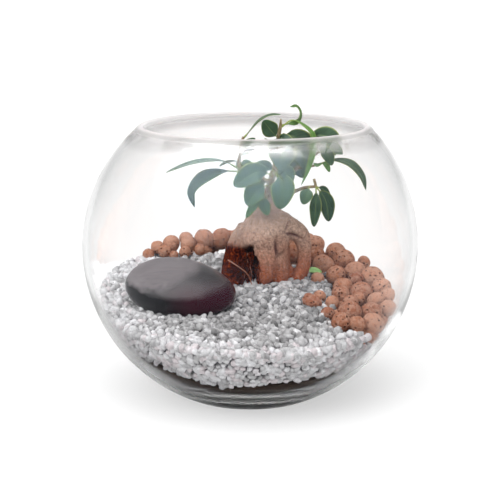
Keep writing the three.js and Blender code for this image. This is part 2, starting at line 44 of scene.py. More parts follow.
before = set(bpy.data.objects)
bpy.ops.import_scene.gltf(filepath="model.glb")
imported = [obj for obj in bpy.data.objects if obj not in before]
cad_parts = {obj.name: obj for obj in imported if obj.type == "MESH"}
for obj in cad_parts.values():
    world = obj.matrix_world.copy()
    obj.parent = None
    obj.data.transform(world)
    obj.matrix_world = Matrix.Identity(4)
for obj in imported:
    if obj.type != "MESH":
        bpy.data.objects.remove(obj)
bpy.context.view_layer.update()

MM = 0.001

# ---------- the bowl's drawing, in millimetres ----------
RADIUS, EQUATOR, HEIGHT = 125.0, 112.0, 203.0
LOWER_RISE, UPPER_RISE = 122.5, 123.25
WALL, BELLY, BEAD, LEAN = 4.0, 3.0, 1.5, 3.0
FLOOR, FLOOR_TURN = 8.5, 24
LIP_RADIUS = (WALL + BEAD) / 2
RIM_RISE = HEIGHT - EQUATOR - 0.28 * LIP_RADIUS
RIM_ANGLE = math.atan2(RIM_RISE, RADIUS * math.sqrt(1 - (RIM_RISE / UPPER_RISE) ** 2))
BASE_RADIUS = RADIUS * math.sqrt(1 - (EQUATOR / LOWER_RISE) ** 2)
BASE_ANGLE = -math.atan2(EQUATOR, BASE_RADIUS)
GAP = 0.3  # air between two pieces that touch

# ---------- the planting's drawing, in millimetres ----------
STONE_CENTRE, STONE_HALF, STONE_TILT = (-51, -20, 83), (42, 31, 19), (0.3, 0.12, -0.16)
STRAY_PEBBLE = (46, -20, 73.5, 6.2)
CHIP_SPACING, CHIP_PROUD, CHIP_SUNK, CHIP_JITTER, CHIP_SEED = 10.2, 2.1, 0.7, 1.1, 5
CLAY_LARGEST, CLAY_SMALLEST, CLAY_STEP = 9.2, 5, 0.6
CLAY_TRIES, CLAY_CROWDING, CLAY_SEED, CLAY_DEPTH = 700, 0.86, 11, 8
CLAY_CHOSEN = (
    (-76, 82, 5.6), (-65, 88, 7.4), (-53, 96, 6), (-51, 87, 7), (-38, 95, 8.6), (-24, 98, 9.2),
    (-10, 99, 9.8), (53, 33, 5.4), (68, 42, 8.2), (72, 19, 7.8), (84, 47, 9), (97, 36, 9.8),
    (85, 8, 9.4), (102, 15, 8.8), (95, -8, 7.4), (103, -21, 7), (75, -14, 6.4), (73, -34, 9.4),
    (89, -30, 8.6), (88, -50, 8), (65, -54, 7.2), (76, -56, 6.4),
)  # fmt: skip
CLAY_EDGE = (
    (112, -62), (92, -68), (74, -69), (59, -62), (55, -42), (61, -20), (63, 4), (60, 20), (58, 36),
    (60, 50), (46, 63), (12, 75), (-20, 84), (-50, 85), (-72, 86), (-90, 94), (-115, 112),
)  # fmt: skip

CLAY_ROUND_THE_EDGE = (
    (-83, 75, 88, 5), (-70, 77, 90.5, 5.4), (-53, 76, 90, 5.2), (-41, 79, 91, 4.8), (-62, 74, 88, 3.8),
    (52, -8, 74, 5), (61, -20, 72.5, 5.4), (56.5, -38, 69, 5.2),
)  # fmt: skip

# Each limb of the swollen trunk from the top down, as stations [x, y, z, radius].
TRUNK_LIMBS = (
    ((14, 30, 151, 4.4), (14, 30, 142, 5.6), (13, 30, 135, 9.5), (12.5, 30, 128, 15),
     (12, 30, 118, 20.5), (8, 31, 108, 20), (8, 34, 99, 9)),
    ((0, 30, 116, 12), (-9, 28, 104, 9.5), (-13.5, 24, 93, 7.5), (-16, 18, 82, 6.5),
     (-17, 13, 72, 5.5), (-16, 11, 56, 2.6)),
    ((9, 24, 114, 12.5), (10.5, 20, 103, 10.5), (11.5, 18, 92, 9.2), (10.5, 16, 83, 6.8),
     (8, 15, 76, 3.6), (8, 15, 66, 3), (9, 16, 54, 1.8)),
    ((19, 29, 114, 11.5), (21, 27, 102, 9), (21.5, 26, 90, 9), (21, 26, 80, 8.6), (20, 27, 68, 5),
     (20, 28, 54, 2.2)),
    ((17, 30, 126, 11), (28, 31, 120, 9.5), (38, 31, 114, 7.8), (42, 31, 105, 6),
     (42.3, 31, 96, 5.4), (40, 31, 86, 5.4), (36.5, 31, 76, 5.2), (34, 32, 64, 3.8), (33, 32, 54, 2)),
    ((26, 33, 92, 4), (29.5, 34, 84, 5), (30, 35, 74, 4.5), (29, 35, 62, 2.5)),
    ((2, 42, 114, 12), (-3, 46, 100, 9), (-6, 49, 87, 7.5), (-8, 51, 73, 5.5), (-9, 52, 58, 2.4)),
    ((18, 42, 114, 12), (23, 48, 100, 8.5), (26, 52, 86, 6.5), (28, 55, 72, 5), (29, 56, 60, 2.4)),
)  # fmt: skip

# Fine roots that hang in the hollow under the trunk, as stations [x, y, z, radius].
ROOT_HAIRS = (
    ((-17, 12, 98, 0.5), (-10, 10, 94, 0.45), (-2, 7, 88, 0.4), (2, 8, 78, 0.3)),
    ((-6, 22, 104, 0.5), (-4, 18, 96, 0.4), (-6, 16, 86, 0.35), (-4, 15, 74, 0.3)),
    ((-1, 20, 106, 0.4), (-2, 17, 97, 0.4), (1, 15, 88, 0.3), (-1, 14, 74, 0.3)),
    ((3, 20, 104, 0.45), (0, 18, 95, 0.35), (-4, 17, 85, 0.35), (-8, 15, 74, 0.3)),
)  # fmt: skip

TO_FRONT, TO_SKY = (0, -1, 0.3), (0, -0.25, 1)
# Each leafy shoot: its twigs as stations, its leaves as (path, width, upper side, age). Age runs from
# 0, an old dark leaf, to 1, a young yellow-green one.
SHOOTS = {
    "shoot_left": (
        (
            ((11, 29, 146, 1.9), (5, 27, 153, 1.8), (-2, 25, 160, 1.6), (-7.5, 24, 168, 1.5),
             (-8, 23, 179, 1.3), (-5, 21, 191, 1)),
        ),
        (
            (((-6, 21.5, 189), (7, 19, 203), (14.5, 17, 207.5), (23, 15, 208.5)), 12, (-0.5, -0.04, 1), 0.45),
            (((-8, 23, 168), (-18, 19, 175), (-28, 16, 177), (-42, 12, 175), (-63, 8, 166.5)), 11, TO_SKY, 0.3),
            (((-8, 24, 166), (-23, 16, 166.5), (-36.5, 11, 160.5), (-43.5, 8, 151.5), (-41.5, 7, 139.5)), 15,
             (-0.7, -0.6, 0.4), 0.2),
            (((-7, 23, 172), (-3, 17, 174), (2, 12, 173)), 8, TO_FRONT, 0.5),
            (((-7, 24, 181), (-1, 22, 187), (4, 20, 190)), 5, TO_FRONT, 0.4),
        ),
    ),
    "shoot_front": (
        (
            ((14, 27, 145, 1.8), (14, 20, 150, 1.7), (15, 16, 158, 1.6), (18, 14, 166, 1.4)),
            ((14, 20, 149, 1.4), (10, 16, 146, 1.1)),
        ),
        (
            (((17, 14, 164), (6, 8, 168), (-12, 3, 157)), 18, TO_FRONT, 0.35),
            (((18, 14, 167), (10, 12, 173.5), (3, 11, 173)), 9, TO_FRONT, 0.4),
            (((14, 16, 156), (5, 11, 152), (-2, 7, 141)), 16, TO_FRONT, 0.3),
            (((18, 14, 166), (24, 8, 160), (22.5, 3, 139)), 18, TO_FRONT, 0.35),
            (((13, 18, 147), (11, 14, 141), (13.5, 10, 133)), 9, TO_FRONT, 0.5),
            (((10, 16, 146), (3, 13, 140), (-3, 11, 131)), 6, TO_FRONT, 0.6),
            (((18, 14, 165), (26, 11, 168), (30, 9, 157)), 13, (0.3, -1, 0.5), 0.4),
        ),
    ),
    "shoot_top": (
        (
            ((14, 30, 148, 2.6), (17, 30, 162, 2.2), (20, 28, 176, 1.8), (21.5, 27, 190, 1.5),
             (23, 26, 199, 1.2), (23.3, 26, 204, 0.5)),
        ),
        (
            (((21.5, 27, 189), (15, 28, 196), (10, 28, 202.5)), 13, TO_FRONT, 0.3),
            (((23, 26, 197), (32, 23, 203.5), (40, 20, 200), (47, 17, 193), (46.5, 14, 184),
              (43.5, 12, 170), (38.5, 11, 156)), 6.5, (0.6, -0.5, 0.6), 0.9),
            (((23, 26.5, 199), (36, 26, 202.5), (38, 26, 208.5), (35, 26, 213.5), (30, 26, 213)), 6,
             (1, -0.4, 0.3), 0.8),
            (((21.5, 27, 187), (24, 18, 190.5), (24, 11, 181), (23, 6.5, 168.5)), 21, TO_FRONT, 0.3),
            (((22, 27, 192), (33, 24, 191), (40, 20, 181), (41.5, 17.5, 168)), 21, TO_FRONT, 0.3),
            (((20.5, 28, 180), (17, 34, 186), (14, 42, 186)), 12, (0, 0.4, 1), 0.3),
        ),
    ),
    "shoot_right": (
        (
            ((17, 31, 147, 2), (26, 33, 157, 1.9), (36, 31, 168, 1.7), (46, 26, 178, 1.4), (52, 22, 185, 1.1)),
            ((36, 31, 168, 1.5), (46, 26, 170, 1.2), (54, 22, 173, 1)),
        ),
        (
            (((52, 22, 184), (50, 21, 192), (59, 18, 191), (69.5, 15, 182)), 15, TO_FRONT, 0.3),
            (((52, 22, 184), (56, 16, 187), (61.5, 14, 172)), 10, (-0.3, -1, 0.2), 0.35),
            (((52.5, 22.7, 172.6), (63, 19, 176.5), (75, 15, 173), (84, 12.5, 163), (87.5, 12, 152)), 12,
             (0.5, -0.5, 0.7), 0.35),
            (((53.5, 22.2, 172.8), (57, 18, 173), (60, 16, 166)), 4.5, TO_FRONT, 0.7),
            (((51, 23.5, 172), (51, 18, 173.5), (50, 14, 171)), 7, (0, -0.6, 0.8), 0.6),
            (((46, 26, 178), (56, 34, 184), (66, 40, 179)), 13, (0, 0.5, 1), 0.3),
        ),
    ),
    "shoot_low_right": (
        (
            ((17, 29, 143, 1.8), (31, 25, 148, 1.5), (42, 21, 153, 1.3), (50, 19, 154, 1.1)),
            ((50, 19, 154, 1.1), (48.5, 20, 160, 1)),
        ),
        (
            (((50, 18.5, 154), (50, 15, 144), (48.5, 13, 123.5)), 9, (-0.2, -1, 0.2), 0.25),
            (((50, 19, 154), (57, 18, 144), (60, 16, 127)), 13, (0.4, -1, 0.2), 0.25),
            (((45, 19, 154), (43, 15, 149), (40, 13, 141)), 10, TO_FRONT, 0.35),
            (((50, 19.5, 154), (56, 22, 151), (62, 23, 142.5)), 7, (0.5, -0.6, 0.4), 0.3),
        ),
    ),
    "shoot_back": (
        (
            ((14, 33, 145, 2), (17, 40, 155, 1.8), (22, 44, 166, 1.5), (28, 45, 176, 1.1)),
            ((16, 39, 153, 1.4), (6, 46, 160, 1.2), (-2, 50, 166, 1)),
        ),
        (
            (((28, 45, 175), (37, 42, 184), (49, 40, 181)), 17, TO_FRONT, 0.3),
            (((22, 44, 166), (34, 41, 168), (42, 40, 158)), 12, TO_FRONT, 0.3),
            (((28, 45, 175), (30, 54, 182), (32, 64, 176)), 14, (0, 0.3, 1), 0.35),
            (((-2, 50, 166), (-12, 54, 172), (-24, 57, 166)), 14, (0, 0.2, 1), 0.3),
            (((-1, 50, 165), (-3, 60, 168), (-6, 70, 158)), 15, (0, 0.6, 1), 0.3),
            (((20, 43, 163), (24, 54, 162), (28, 62, 150)), 14, (0, 0.7, 0.8), 0.35),
            (((17, 41, 156), (8, 52, 154), (4, 60, 144)), 13, (0, 0.8, 0.6), 0.25),
        ),
    ),
}  # fmt: skip
FALLEN_LEAF = (((42, 50, 80), (49, 48, 81.5), (57, 45, 80.5)), 7, (0.1, -0.5, 1), 1.0)


# ---------- arithmetic ----------
def unit(vectors):
    """Each vector over its own length."""
    return vectors / np.maximum(np.linalg.norm(vectors, axis=-1, keepdims=True), 1e-12)


def smoothstep(low, high, value):
    """0 below low, 1 above high, and 3t^2 - 2t^3 between."""
    t = np.clip((value - low) / (high - low), 0, 1)
    return t * t * (3 - 2 * t)


def along(points, shares):
    """A centripetal Catmull-Rom curve through the points at shares of its count of spans: on each
    span, the cubic whose slopes at both ends come from the neighbours, each weighted by the root of
    its distance. Columns after the third, such as a radius, are carried along."""
    points = np.asarray(points, float)
    padded = np.vstack([2 * points[0] - points[1], points, 2 * points[-1] - points[-2]])
    place = np.clip(np.asarray(shares, float) * (len(points) - 1), 0, len(points) - 1)
    span = np.minimum(place.astype(int), len(points) - 2)
    w = (place - span)[:, None]
    p0, p1, p2, p3 = (padded[span + i] for i in range(4))

    def pace(a, b):
        return np.sqrt(np.linalg.norm((a - b)[:, :3], axis=1))[:, None] + 1e-9

    d0, d1, d2 = pace(p0, p1), pace(p1, p2), pace(p2, p3)
    leave = ((p1 - p0) / d0 - (p2 - p0) / (d0 + d1) + (p2 - p1) / d1) * d1
    arrive = ((p2 - p1) / d1 - (p3 - p1) / (d1 + d2) + (p3 - p2) / d2) * d1
    return p1 + w * (leave + w * (3 * (p2 - p1) - 2 * leave - arrive + w * (2 * (p1 - p2) + leave + arrive)))


def evenly_along(points, shares):
    """The same curve at shares of its own length."""
    fine = np.linspace(0, 1, 201)
    run = np.linalg.norm(np.diff(along(points, fine)[:, :3], axis=0), axis=1)
    run = np.concatenate([[0], np.cumsum(run)])
    return along(points, np.interp(shares, run / run[-1], fine))


def mottle(points, size, seed):
    """Smooth random lumps from -1 to 1, as large as size: a random value at each corner of a grid of
    cubes, blended across each cube by 3t^2 - 2t^3 along each axis."""
    place = np.asarray(points, float) / size
    corner = np.floor(place).astype(np.int64)
    t = place - corner
    t = t * t * (3 - 2 * t)
    total = np.zeros(place.shape[:-1])
    for step in np.ndindex(2, 2, 2):
        c = corner + step
        h = (c[..., 0] * 73856093) ^ (c[..., 1] * 19349663) ^ (c[..., 2] * 83492791) ^ (seed * 2654435761)
        h = (h ^ (h >> 13)) * 1274126177 & 0xFFFFFFFF
        h = (h ^ (h >> 16)) * 2246822519 & 0xFFFFFFFF
        weight = np.prod(np.where(step, t, 1 - t), axis=-1)
        total += weight * (((h ^ (h >> 15)) & 0xFFFFFF) / 0x7FFFFF - 1)
    return total


def repeatable_draws(seed):
    """The stream of numbers from 0 to 1 that the solids' pebbles are dropped with: a 32-bit counter,
    scrambled by two multiplications."""
    state = seed
    while True:
        state = (state + 0x6D2B79F5) & 0xFFFFFFFF
        t = ((state ^ (state >> 15)) * (1 | state)) & 0xFFFFFFFF
        t = ((t + ((t ^ (t >> 7)) * (61 | t) & 0xFFFFFFFF)) ^ t) & 0xFFFFFFFF
        yield ((t ^ (t >> 14)) & 0xFFFFFFFF) / 4294967296


# ---------- the ground ----------
def outside_reach(angle):
    """Distance from the bowl's middle to its outside: 1 over the length of (cos/radius, sin/rise)."""
    rise = np.where(angle < 0, LOWER_RISE, UPPER_RISE)
    return 1 / np.hypot(np.cos(angle) / RADIUS, np.sin(angle) / rise)


def inside_reach(angle):
    """The outside less the wall, which gains the belly times the square of the sine downwards and the
    bead times the 8th power of the share of the way to the rim; below, it runs smoothly into the flat
    floor: wall * (1 + (wall / flat)^24)^(-1/24)."""
    down = np.clip(np.sin(-angle), 1e-6, 1)
    up = np.clip(angle / RIM_ANGLE, 0, 1)
    wall = outside_reach(angle) - WALL - BELLY * down**2 - BEAD * up**8
    flat = (EQUATOR - FLOOR) / down
    return wall * (1 + (wall / flat) ** FLOOR_TURN) ** (-1 / FLOOR_TURN)


ANGLES = np.linspace(-math.pi / 2, RIM_ANGLE, 600)
INSIDE_R = inside_reach(ANGLES) * np.cos(ANGLES)
INSIDE_Z = EQUATOR + inside_reach(ANGLES) * np.sin(ANGLES)


def inside_radius(z):
    """Radius of the glass's inner surface at a height."""
    return np.interp(z, INSIDE_Z, INSIDE_R)


def hill(x, y, cx, cy, reach):
    """A bump of height 1: exp(-distance^2 / reach^2)."""
    return np.exp(-((x - cx) ** 2 + (y - cy) ** 2) / reach**2)


def ground_at(x, y):
    """The dressed surface: a plane that rises to the back, a mound round the roots, and a ripple."""
    ripple = 1.2 * np.sin(0.06 * x + 0.04 * y)
    return 73 + 0.13 * y - 0.035 * x + 4 * hill(x, y, 12, 24, 42) + ripple


def soil_at(x, y):
    """The potting soil: a plane that rises to the back, with one hill and two dips along the glass."""
    wave = 7 * hill(x, y, -72, -58, 28) - 5 * hill(x, y, -21, -85, 16) - 6 * hill(x, y, 88, -58, 20)
    return 33 + 0.2 * (y + 88) + wave


def chip_lattice():
    """The solids' lattice of chips, by the same draws: x, y and lift of each point, and whether it is
    the peak of a chip, which every third point is. The points between are the cracks."""
    spacing = CHIP_SPACING / math.sqrt(3)
    row_height = spacing * math.sqrt(0.75)
    rows = math.ceil(2 * (RADIUS + 2) / row_height)
    columns = math.ceil(2 * (RADIUS + 2) / spacing) + 1
    draws = repeatable_draws(CHIP_SEED)
    drawn = np.full((rows + 1, columns + 1, 3), 0.5)
    inner = (rows - 1, columns - 1, 3)
    drawn[1:-1, 1:-1] = np.array([next(draws) for _ in range(math.prod(inner))]).reshape(inner)
    j, i = np.indices((rows + 1, columns + 1))
    is_peak = (i - j // 2 - j) % 3 == 0
    lift = np.where(is_peak, CHIP_PROUD * (0.5 + drawn[..., 0]), -CHIP_SUNK * drawn[..., 0])
    x = (i - columns / 2 + (j % 2) / 2) * spacing + (2 * drawn[..., 1] - 1) * CHIP_JITTER
    y = (j - rows / 2) * row_height + (2 * drawn[..., 2] - 1) * CHIP_JITTER
    return x, y, lift, is_peak


LATTICE_X, LATTICE_Y, LATTICE_LIFT, LATTICE_PEAK = chip_lattice()


def chips_at(x, y):
    """The dressed surface with its chips: the ground plus the lattice's lift, carried straight across
    each of the lattice's triangles."""
    spacing = CHIP_SPACING / math.sqrt(3)
    rows, columns = (n - 1 for n in LATTICE_LIFT.shape)
    v = y / (spacing * math.sqrt(0.75)) + rows / 2
    q = x / spacing + columns / 2 - v / 2
    row, slanted = np.floor(v).astype(int), np.floor(q).astype(int)
    fv, fq = v - row, q - slanted

    def lift(along_row, up):
        j = np.clip(row + up, 0, rows)
        return LATTICE_LIFT[j, np.clip(slanted + along_row + j // 2, 0, columns)]

    near = lift(0, 0) * (1 - fq - fv) + lift(1, 0) * fq + lift(0, 1) * fv
    far = lift(1, 1) * (fq + fv - 1) + lift(1, 0) * (1 - fv) + lift(0, 1) * (1 - fq)
    return ground_at(x, y) + np.where(fq + fv < 1, near, far)


def pile_at(x, y):
    """The pile of clay pebbles: the ground plus 3, and up to 7 more towards the back."""
    return ground_at(x, y) + 3 + 7 * np.clip((y - 40) / 60, 0, 1)


def clay_plan(grow):
    """The pile's plan as a polygon: its edge curve moved out along its own normal, and three corners
    beyond the glass."""
    shares = np.linspace(0, 1, 29)
    edge = along(CLAY_EDGE, shares)
    run = unit(along(CLAY_EDGE, shares + 1e-4) - along(CLAY_EDGE, shares - 1e-4))
    edge = edge + grow * np.stack([-run[:, 1], run[:, 0]], axis=1)
    return np.vstack([edge, [(-150, 150), (150, 150), (150, edge[0, 1])]])


def within(plan, x, y):
    """Even-odd rule: True where a line to the right of the point crosses the polygon an odd number
    of times."""
    x, y = np.asarray(x, float)[..., None], np.asarray(y, float)[..., None]
    px, py = plan.T
    qx, qy = np.roll(plan, 1, axis=0).T
    spans = (py > y) != (qy > y)
    rise = np.where(qy == py, 1, qy - py)
    return (spans & (x < (qx - px) * (y - py) / rise + px)).sum(-1) % 2 == 1


def clay_spots():
    """Pebbles as [x, y, z, radius]: after the chosen ones, each is dropped where it finds room, big
    ones first, by the same draws as the solids."""
    draws = repeatable_draws(CLAY_SEED)
    spots = [(x, y, pile_at(x, y) - 0.1 * r, r) for x, y, r in CLAY_CHOSEN]
    radius = CLAY_LARGEST
    while radius >= CLAY_SMALLEST:
        x, y, lift = np.array([next(draws) for _ in range(3 * CLAY_TRIES)]).reshape(-1, 3).T
        x, y = (2 * x - 1) * RADIUS, (2 * y - 1) * RADIUS
        z = pile_at(x, y) + radius * (0.3 * lift - 0.25)
        fits = np.hypot(x, y) < inside_radius(z) - radius - GAP
        fits &= within(clay_plan(-0.55 * radius), x, y)
        for spot in np.stack([x, y, z], axis=1)[fits]:
            taken = np.array(spots)
            apart = np.linalg.norm(taken[:, :3] - spot, axis=1)
            if np.all(apart > CLAY_CROWDING * (radius + taken[:, 3])):
                spots.append((*spot, radius))
        radius -= CLAY_STEP
    return np.array(spots)


def inside_stone(points, grow):
    """True where a point, turned back into the stone's own axes, is within its ellipsoid."""
    turn = stone_turn()
    local = (points - np.array(STONE_CENTRE)) @ turn / (np.array(STONE_HALF) + grow)
    return (local**2).sum(-1) < 1


def stone_turn():
    """The stone's tilt about x, then y, then z, as one matrix."""
    return np.array(Euler(STONE_TILT, "XYZ").to_matrix())


def inside_limbs(points, grow):
    """True where a point is nearer to a limb's curve than the limb's radius plus grow."""
    found = np.zeros(len(points), bool)
    for stations in TRUNK_LIMBS:
        core = evenly_along(stations, np.linspace(0, 1, 24))
        reach = np.linalg.norm(points[:, None] - core[None, :, :3], axis=2) - core[None, :, 3]
        found |= reach.min(1) < grow
    return found


# ---------- surfaces ----------
# A surface is (points, four-cornered faces, three-cornered faces).
def skin(rings):
    """A closed surface over rings of points: faces between neighbours, and a fan from the middle of
    the first and of the last ring. It is turned right side out by the sign of its volume."""
    rows, around = rings.shape[:2]
    flat = rings.reshape(-1, 3)
    points = np.vstack([flat, rings[0].mean(0), rings[-1].mean(0)])
    i, j = np.meshgrid(np.arange(rows - 1), np.arange(around), indexing="ij")
    a, b = (i * around + j).ravel(), (i * around + (j + 1) % around).ravel()
    quads = np.stack([a, b, b + around, a + around], axis=1)
    k = np.arange(around)
    n, last = (k + 1) % around, (rows - 1) * around
    first_fan = np.stack([n, k, np.full(around, rows * around)], axis=1)
    last_fan = np.stack([last + k, last + n, np.full(around, rows * around + 1)], axis=1)
    tris = np.vstack([first_fan, last_fan])
    every = np.vstack([quads[:, [0, 1, 2]], quads[:, [0, 2, 3]], tris])
    p, q, r = (points[every[:, c]] - points[0] for c in range(3))
    if (p * np.cross(q, r)).sum() < 0:
        quads, tris = quads[:, ::-1], tris[:, ::-1]
    return points, quads, tris


def gathered(surfaces):
    """Several surfaces as one, their corners renumbered."""
    offsets = np.cumsum([0] + [len(s[0]) for s in surfaces[:-1]])
    points = np.vstack([s[0] for s in surfaces])
    quads = np.vstack([s[1] + o for s, o in zip(surfaces, offsets)])
    tris = np.vstack([s[2] + o for s, o in zip(surfaces, offsets)])
    return points, quads, tris


def limb(stations, rows, around, flutes=0.0, seed=0):
    """A limb carried along its curve: circles of the stations' radius, fluted by flutes times a few
    waves round the circle that drift along the limb."""
    path = evenly_along(stations, np.linspace(0, 1, rows))
    centre, radius = path[:, :3], np.maximum(path[:, 3], 0.2)
    forward = unit(np.gradient(centre, axis=0))
    across = unit(np.cross((0.1, 1, 0.05), forward))
    deep = np.cross(forward, across)
    turn = np.linspace(0, 2 * math.pi, around, endpoint=False)
    drift = np.linspace(0, 2, rows)[:, None] + seed
    swell = 1 + flutes * (np.sin(3 * turn + 1.7 * drift) + 0.7 * np.sin(5 * turn - 2.3 * drift + seed))
    circle = np.cos(turn)[:, None] * across[:, None] + np.sin(turn)[:, None] * deep[:, None]
    return skin(centre[:, None] + (radius[:, None] * swell)[..., None] * circle)


def ball_grid(cells):
    """A cube's six faces cut into cells by cells and every corner pushed out to distance 1."""
    side = np.tan(np.linspace(-1, 1, cells + 1) * math.pi / 4)
    u, v = np.meshgrid(side, side, indexing="ij")
    w = np.ones_like(u)
    faces = [np.stack(f, axis=-1) for f in ((w, u, v), (-w, v, u), (v, w, u), (u, -w, v), (u, v, w), (v, u, -w))]
    points = np.round(np.vstack([f.reshape(-1, 3) for f in faces]), 6)
    points, index = np.unique(points, axis=0, return_inverse=True)
    index = index.reshape(6, cells + 1, cells + 1)
    corners = (index[:, :-1, :-1], index[:, 1:, :-1], index[:, 1:, 1:], index[:, :-1, 1:])
    return unit(points), np.stack(corners, axis=-1).reshape(-1, 4)


def random_turns(rng, count):
    """Turning matrices from random unit quaternions."""
    w, x, y, z = unit(rng.normal(size=(count, 4))).T
    return np.stack(
        [
            np.stack([1 - 2 * (y * y + z * z), 2 * (x * y - z * w), 2 * (x * z + y * w)], axis=-1),
            np.stack([2 * (x * y + z * w), 1 - 2 * (x * x + z * z), 2 * (y * z - x * w)], axis=-1),
            np.stack([2 * (x * z - y * w), 2 * (y * z + x * w), 1 - 2 * (x * x + y * y)], axis=-1),
        ],
        axis=1,
    )


def kept_in_glass(points, clear):
    """Points moved towards the bowl's middle until they are clear of its inner surface."""
    middle = np.array([0, 0, EQUATOR])
    out = points - middle
    flat = np.hypot(out[..., 0], out[..., 1])
    angle = np.arctan2(out[..., 2], flat)
    far = np.linalg.norm(out, axis=-1)
    most = inside_reach(np.minimum(angle, RIM_ANGLE)) - clear
    return middle + out * np.minimum(1, most / np.maximum(far, 1e-9))[..., None]


def crushed_chips(centres, sizes, turns, rng):
    """Broken chips: a 26-cornered ball whose every corner is drawn in to the nearest of nine random
    planes, stretched to its three half axes, turned and set down. Returns the surface and, for each
    point, its chip's number."""
    ball, quads = ball_grid(2)
    count = len(centres)
    planes = unit(rng.normal(size=(count, 9, 3)))
    heights = rng.uniform(0.72, 1.0, size=(count, 9))
    facing = ball @ planes.transpose(0, 2, 1)
    reach = np.where(facing > 0.05, heights[:, None] / np.maximum(facing, 0.05), 9).min(-1)
    local = ball[None] * np.minimum(reach, 1.2)[..., None] * sizes[:, None]
    points = np.einsum("nij,nkj->nki", turns, local) + centres[:, None]
    faces = quads[None] + 26 * np.arange(count)[:, None, None]
    return points, faces.reshape(-1, 4), np.repeat(np.arange(count), 26)


def poured_bed(top_at, floor_at, around, steps, clear, crumble):
    """A poured layer as one closed surface: out along its top, down the glass and back along its
    floor, for each angle round the bowl. floor_at None follows the glass to its lowest point. The side
    is pitted inwards by crumble times random lumps."""
    angle = np.linspace(0, 2 * math.pi, around, endpoint=False)
    c, s = np.cos(angle), np.sin(angle)

    def meets_glass(height_at):
        r = np.full(around, 100.0)
        for _ in range(14):
            r = inside_radius(height_at(r * c, r * s)) - clear
        return r

    top_r = meets_glass(top_at)
    rows = []
    for share in np.linspace(0, 1, steps)[1:]:
        x, y = share * top_r * c, share * top_r * s
        rows.append(np.stack([x, y, top_at(x, y)], axis=-1))
    top_z = rows[-1][:, 2]
    floor_z = np.full(around, INSIDE_Z[0] + clear)
    if floor_at:
        floor_r = meets_glass(floor_at)
        floor_z = floor_at(floor_r * c, floor_r * s)
    shares = np.linspace(0, 1, steps)[1:]
    for share in shares if floor_at else np.sin(shares * math.pi / 2)[:-1]:
        z = top_z + share * (floor_z - top_z)
        r = inside_radius(z) - clear
        side = np.stack([r * c, r * s, z], axis=-1)
        pits = 0.5 + 0.5 * (0.6 * mottle(side, 2.4, 3) + 0.4 * mottle(side, 1.1, 8))
        r = r - crumble * pits
        rows.append(np.stack([r * c, r * s, z], axis=-1))
    if floor_at:
        for share in np.linspace(1, 0, steps // 2)[1:-1]:
            x, y = share * floor_r * c, share * floor_r * s
            rows.append(np.stack([x, y, floor_at(x, y)], axis=-1))
    return skin(np.array(rows))


def blade(shape, rows=26, columns=13, thickness=0.42):
    """A leaf: a lens-shaped section carried along its path. Half its width follows a power of a sine
    past the stalk, its two halves are cupped upwards by a share of that width, its edge waves a
    little, and the middle rib sinks in above and stands out below. Returns the surface and, for each
    point, its place across (-1 to 1), along (0 to 1) and on which side (1 above, 0 below)."""
    path, width, upper, age = shape
    is_long = len(path) > 3
    t = np.linspace(0, 1, rows)
    t = 0.5 * t + 0.5 * t * t * (3 - 2 * t)
    centre = evenly_along(path, t)
    forward = unit(np.gradient(centre, axis=0))
    across = unit(np.cross(forward, np.array(upper, float)))
    normal = np.cross(across, forward)
    s = np.clip((t - 0.16) / 0.84, 0, 1)
    form = np.sin(math.pi * s) ** (0.85 if is_long else 0.6) * (1 + 0.1 * np.sin(2 * math.pi * s))
    half = np.maximum(width / 2 * form, np.where(t > 0.9, 0.1, 0.55))[:, None]
    share = np.linspace(-1, 1, columns)[None]
    seed = path[0][0] * 7 + path[-1][2] * 3 + width
    wave = np.sin(11 * t[:, None] + 2.2 * np.sign(share) + seed) * 0.035 * half * share**2
    cup = 0.16 * half * (np.sqrt(share**2 + 0.01) - 0.1)
    rib = np.exp(-((share * half / 0.45) ** 2))
    thick = np.minimum(thickness * (1 - 0.6 * share**4), half)
    stalk = smoothstep(0.2, 0.1, t)[:, None] * 0.45 * np.sqrt(1 - 0.98 * share**2)
    above = cup + wave + thick / 2 - 0.16 * rib * (1 - stalk) + stalk
    below = cup + wave - thick / 2 - 0.3 * rib * (1 - 0.6 * t[:, None]) - stalk

    def sheet(lift):
        return centre[:, None] + (share * half)[..., None] * across[:, None] + lift[..., None] * normal[:, None]

    surface = skin(np.concatenate([sheet(above), sheet(below)[:, ::-1]], axis=1))
    both = np.concatenate([share, share[:, ::-1]], axis=1).repeat(rows, axis=0)
    side = np.concatenate([np.ones((rows, columns)), np.zeros((rows, columns))], axis=1)
    place = np.stack([both, np.broadcast_to(t[:, None], both.shape), side], axis=-1).reshape(-1, 3)
    place = np.vstack([place, (0, 0, 0.5), (0, 1, 0.5)])
    return surface, place, np.full(len(place), age + 0.15 * math.sin(9 * seed) * (age < 0.6))


# ---------- pieces ----------
def mesh_of(name, surface, smooth=True):
    """A mesh of a surface, its millimetres made metres."""
    points, quads, tris = surface
    mesh = bpy.data.meshes.new(name)
    loops = np.concatenate([quads.ravel(), tris.ravel()]).astype(np.int32)
    sizes = np.concatenate([np.full(len(quads), 4), np.full(len(tris), 3)])
    mesh.vertices.add(len(points))
    mesh.vertices.foreach_set("co", (points * MM).astype(np.float32).ravel())
    mesh.loops.add(len(loops))
    mesh.loops.foreach_set("vertex_index", loops)
    mesh.polygons.add(len(sizes))
    mesh.polygons.foreach_set("loop_start", (np.cumsum(sizes) - sizes).astype(np.int32))
    mesh.polygons.foreach_set("use_smooth", np.full(len(sizes), smooth))
    mesh.update(calc_edges=True)
    if mesh.validate() or not len(mesh.polygons):
        raise RuntimeError(f"{name} has faces that don't hold together")
    return mesh


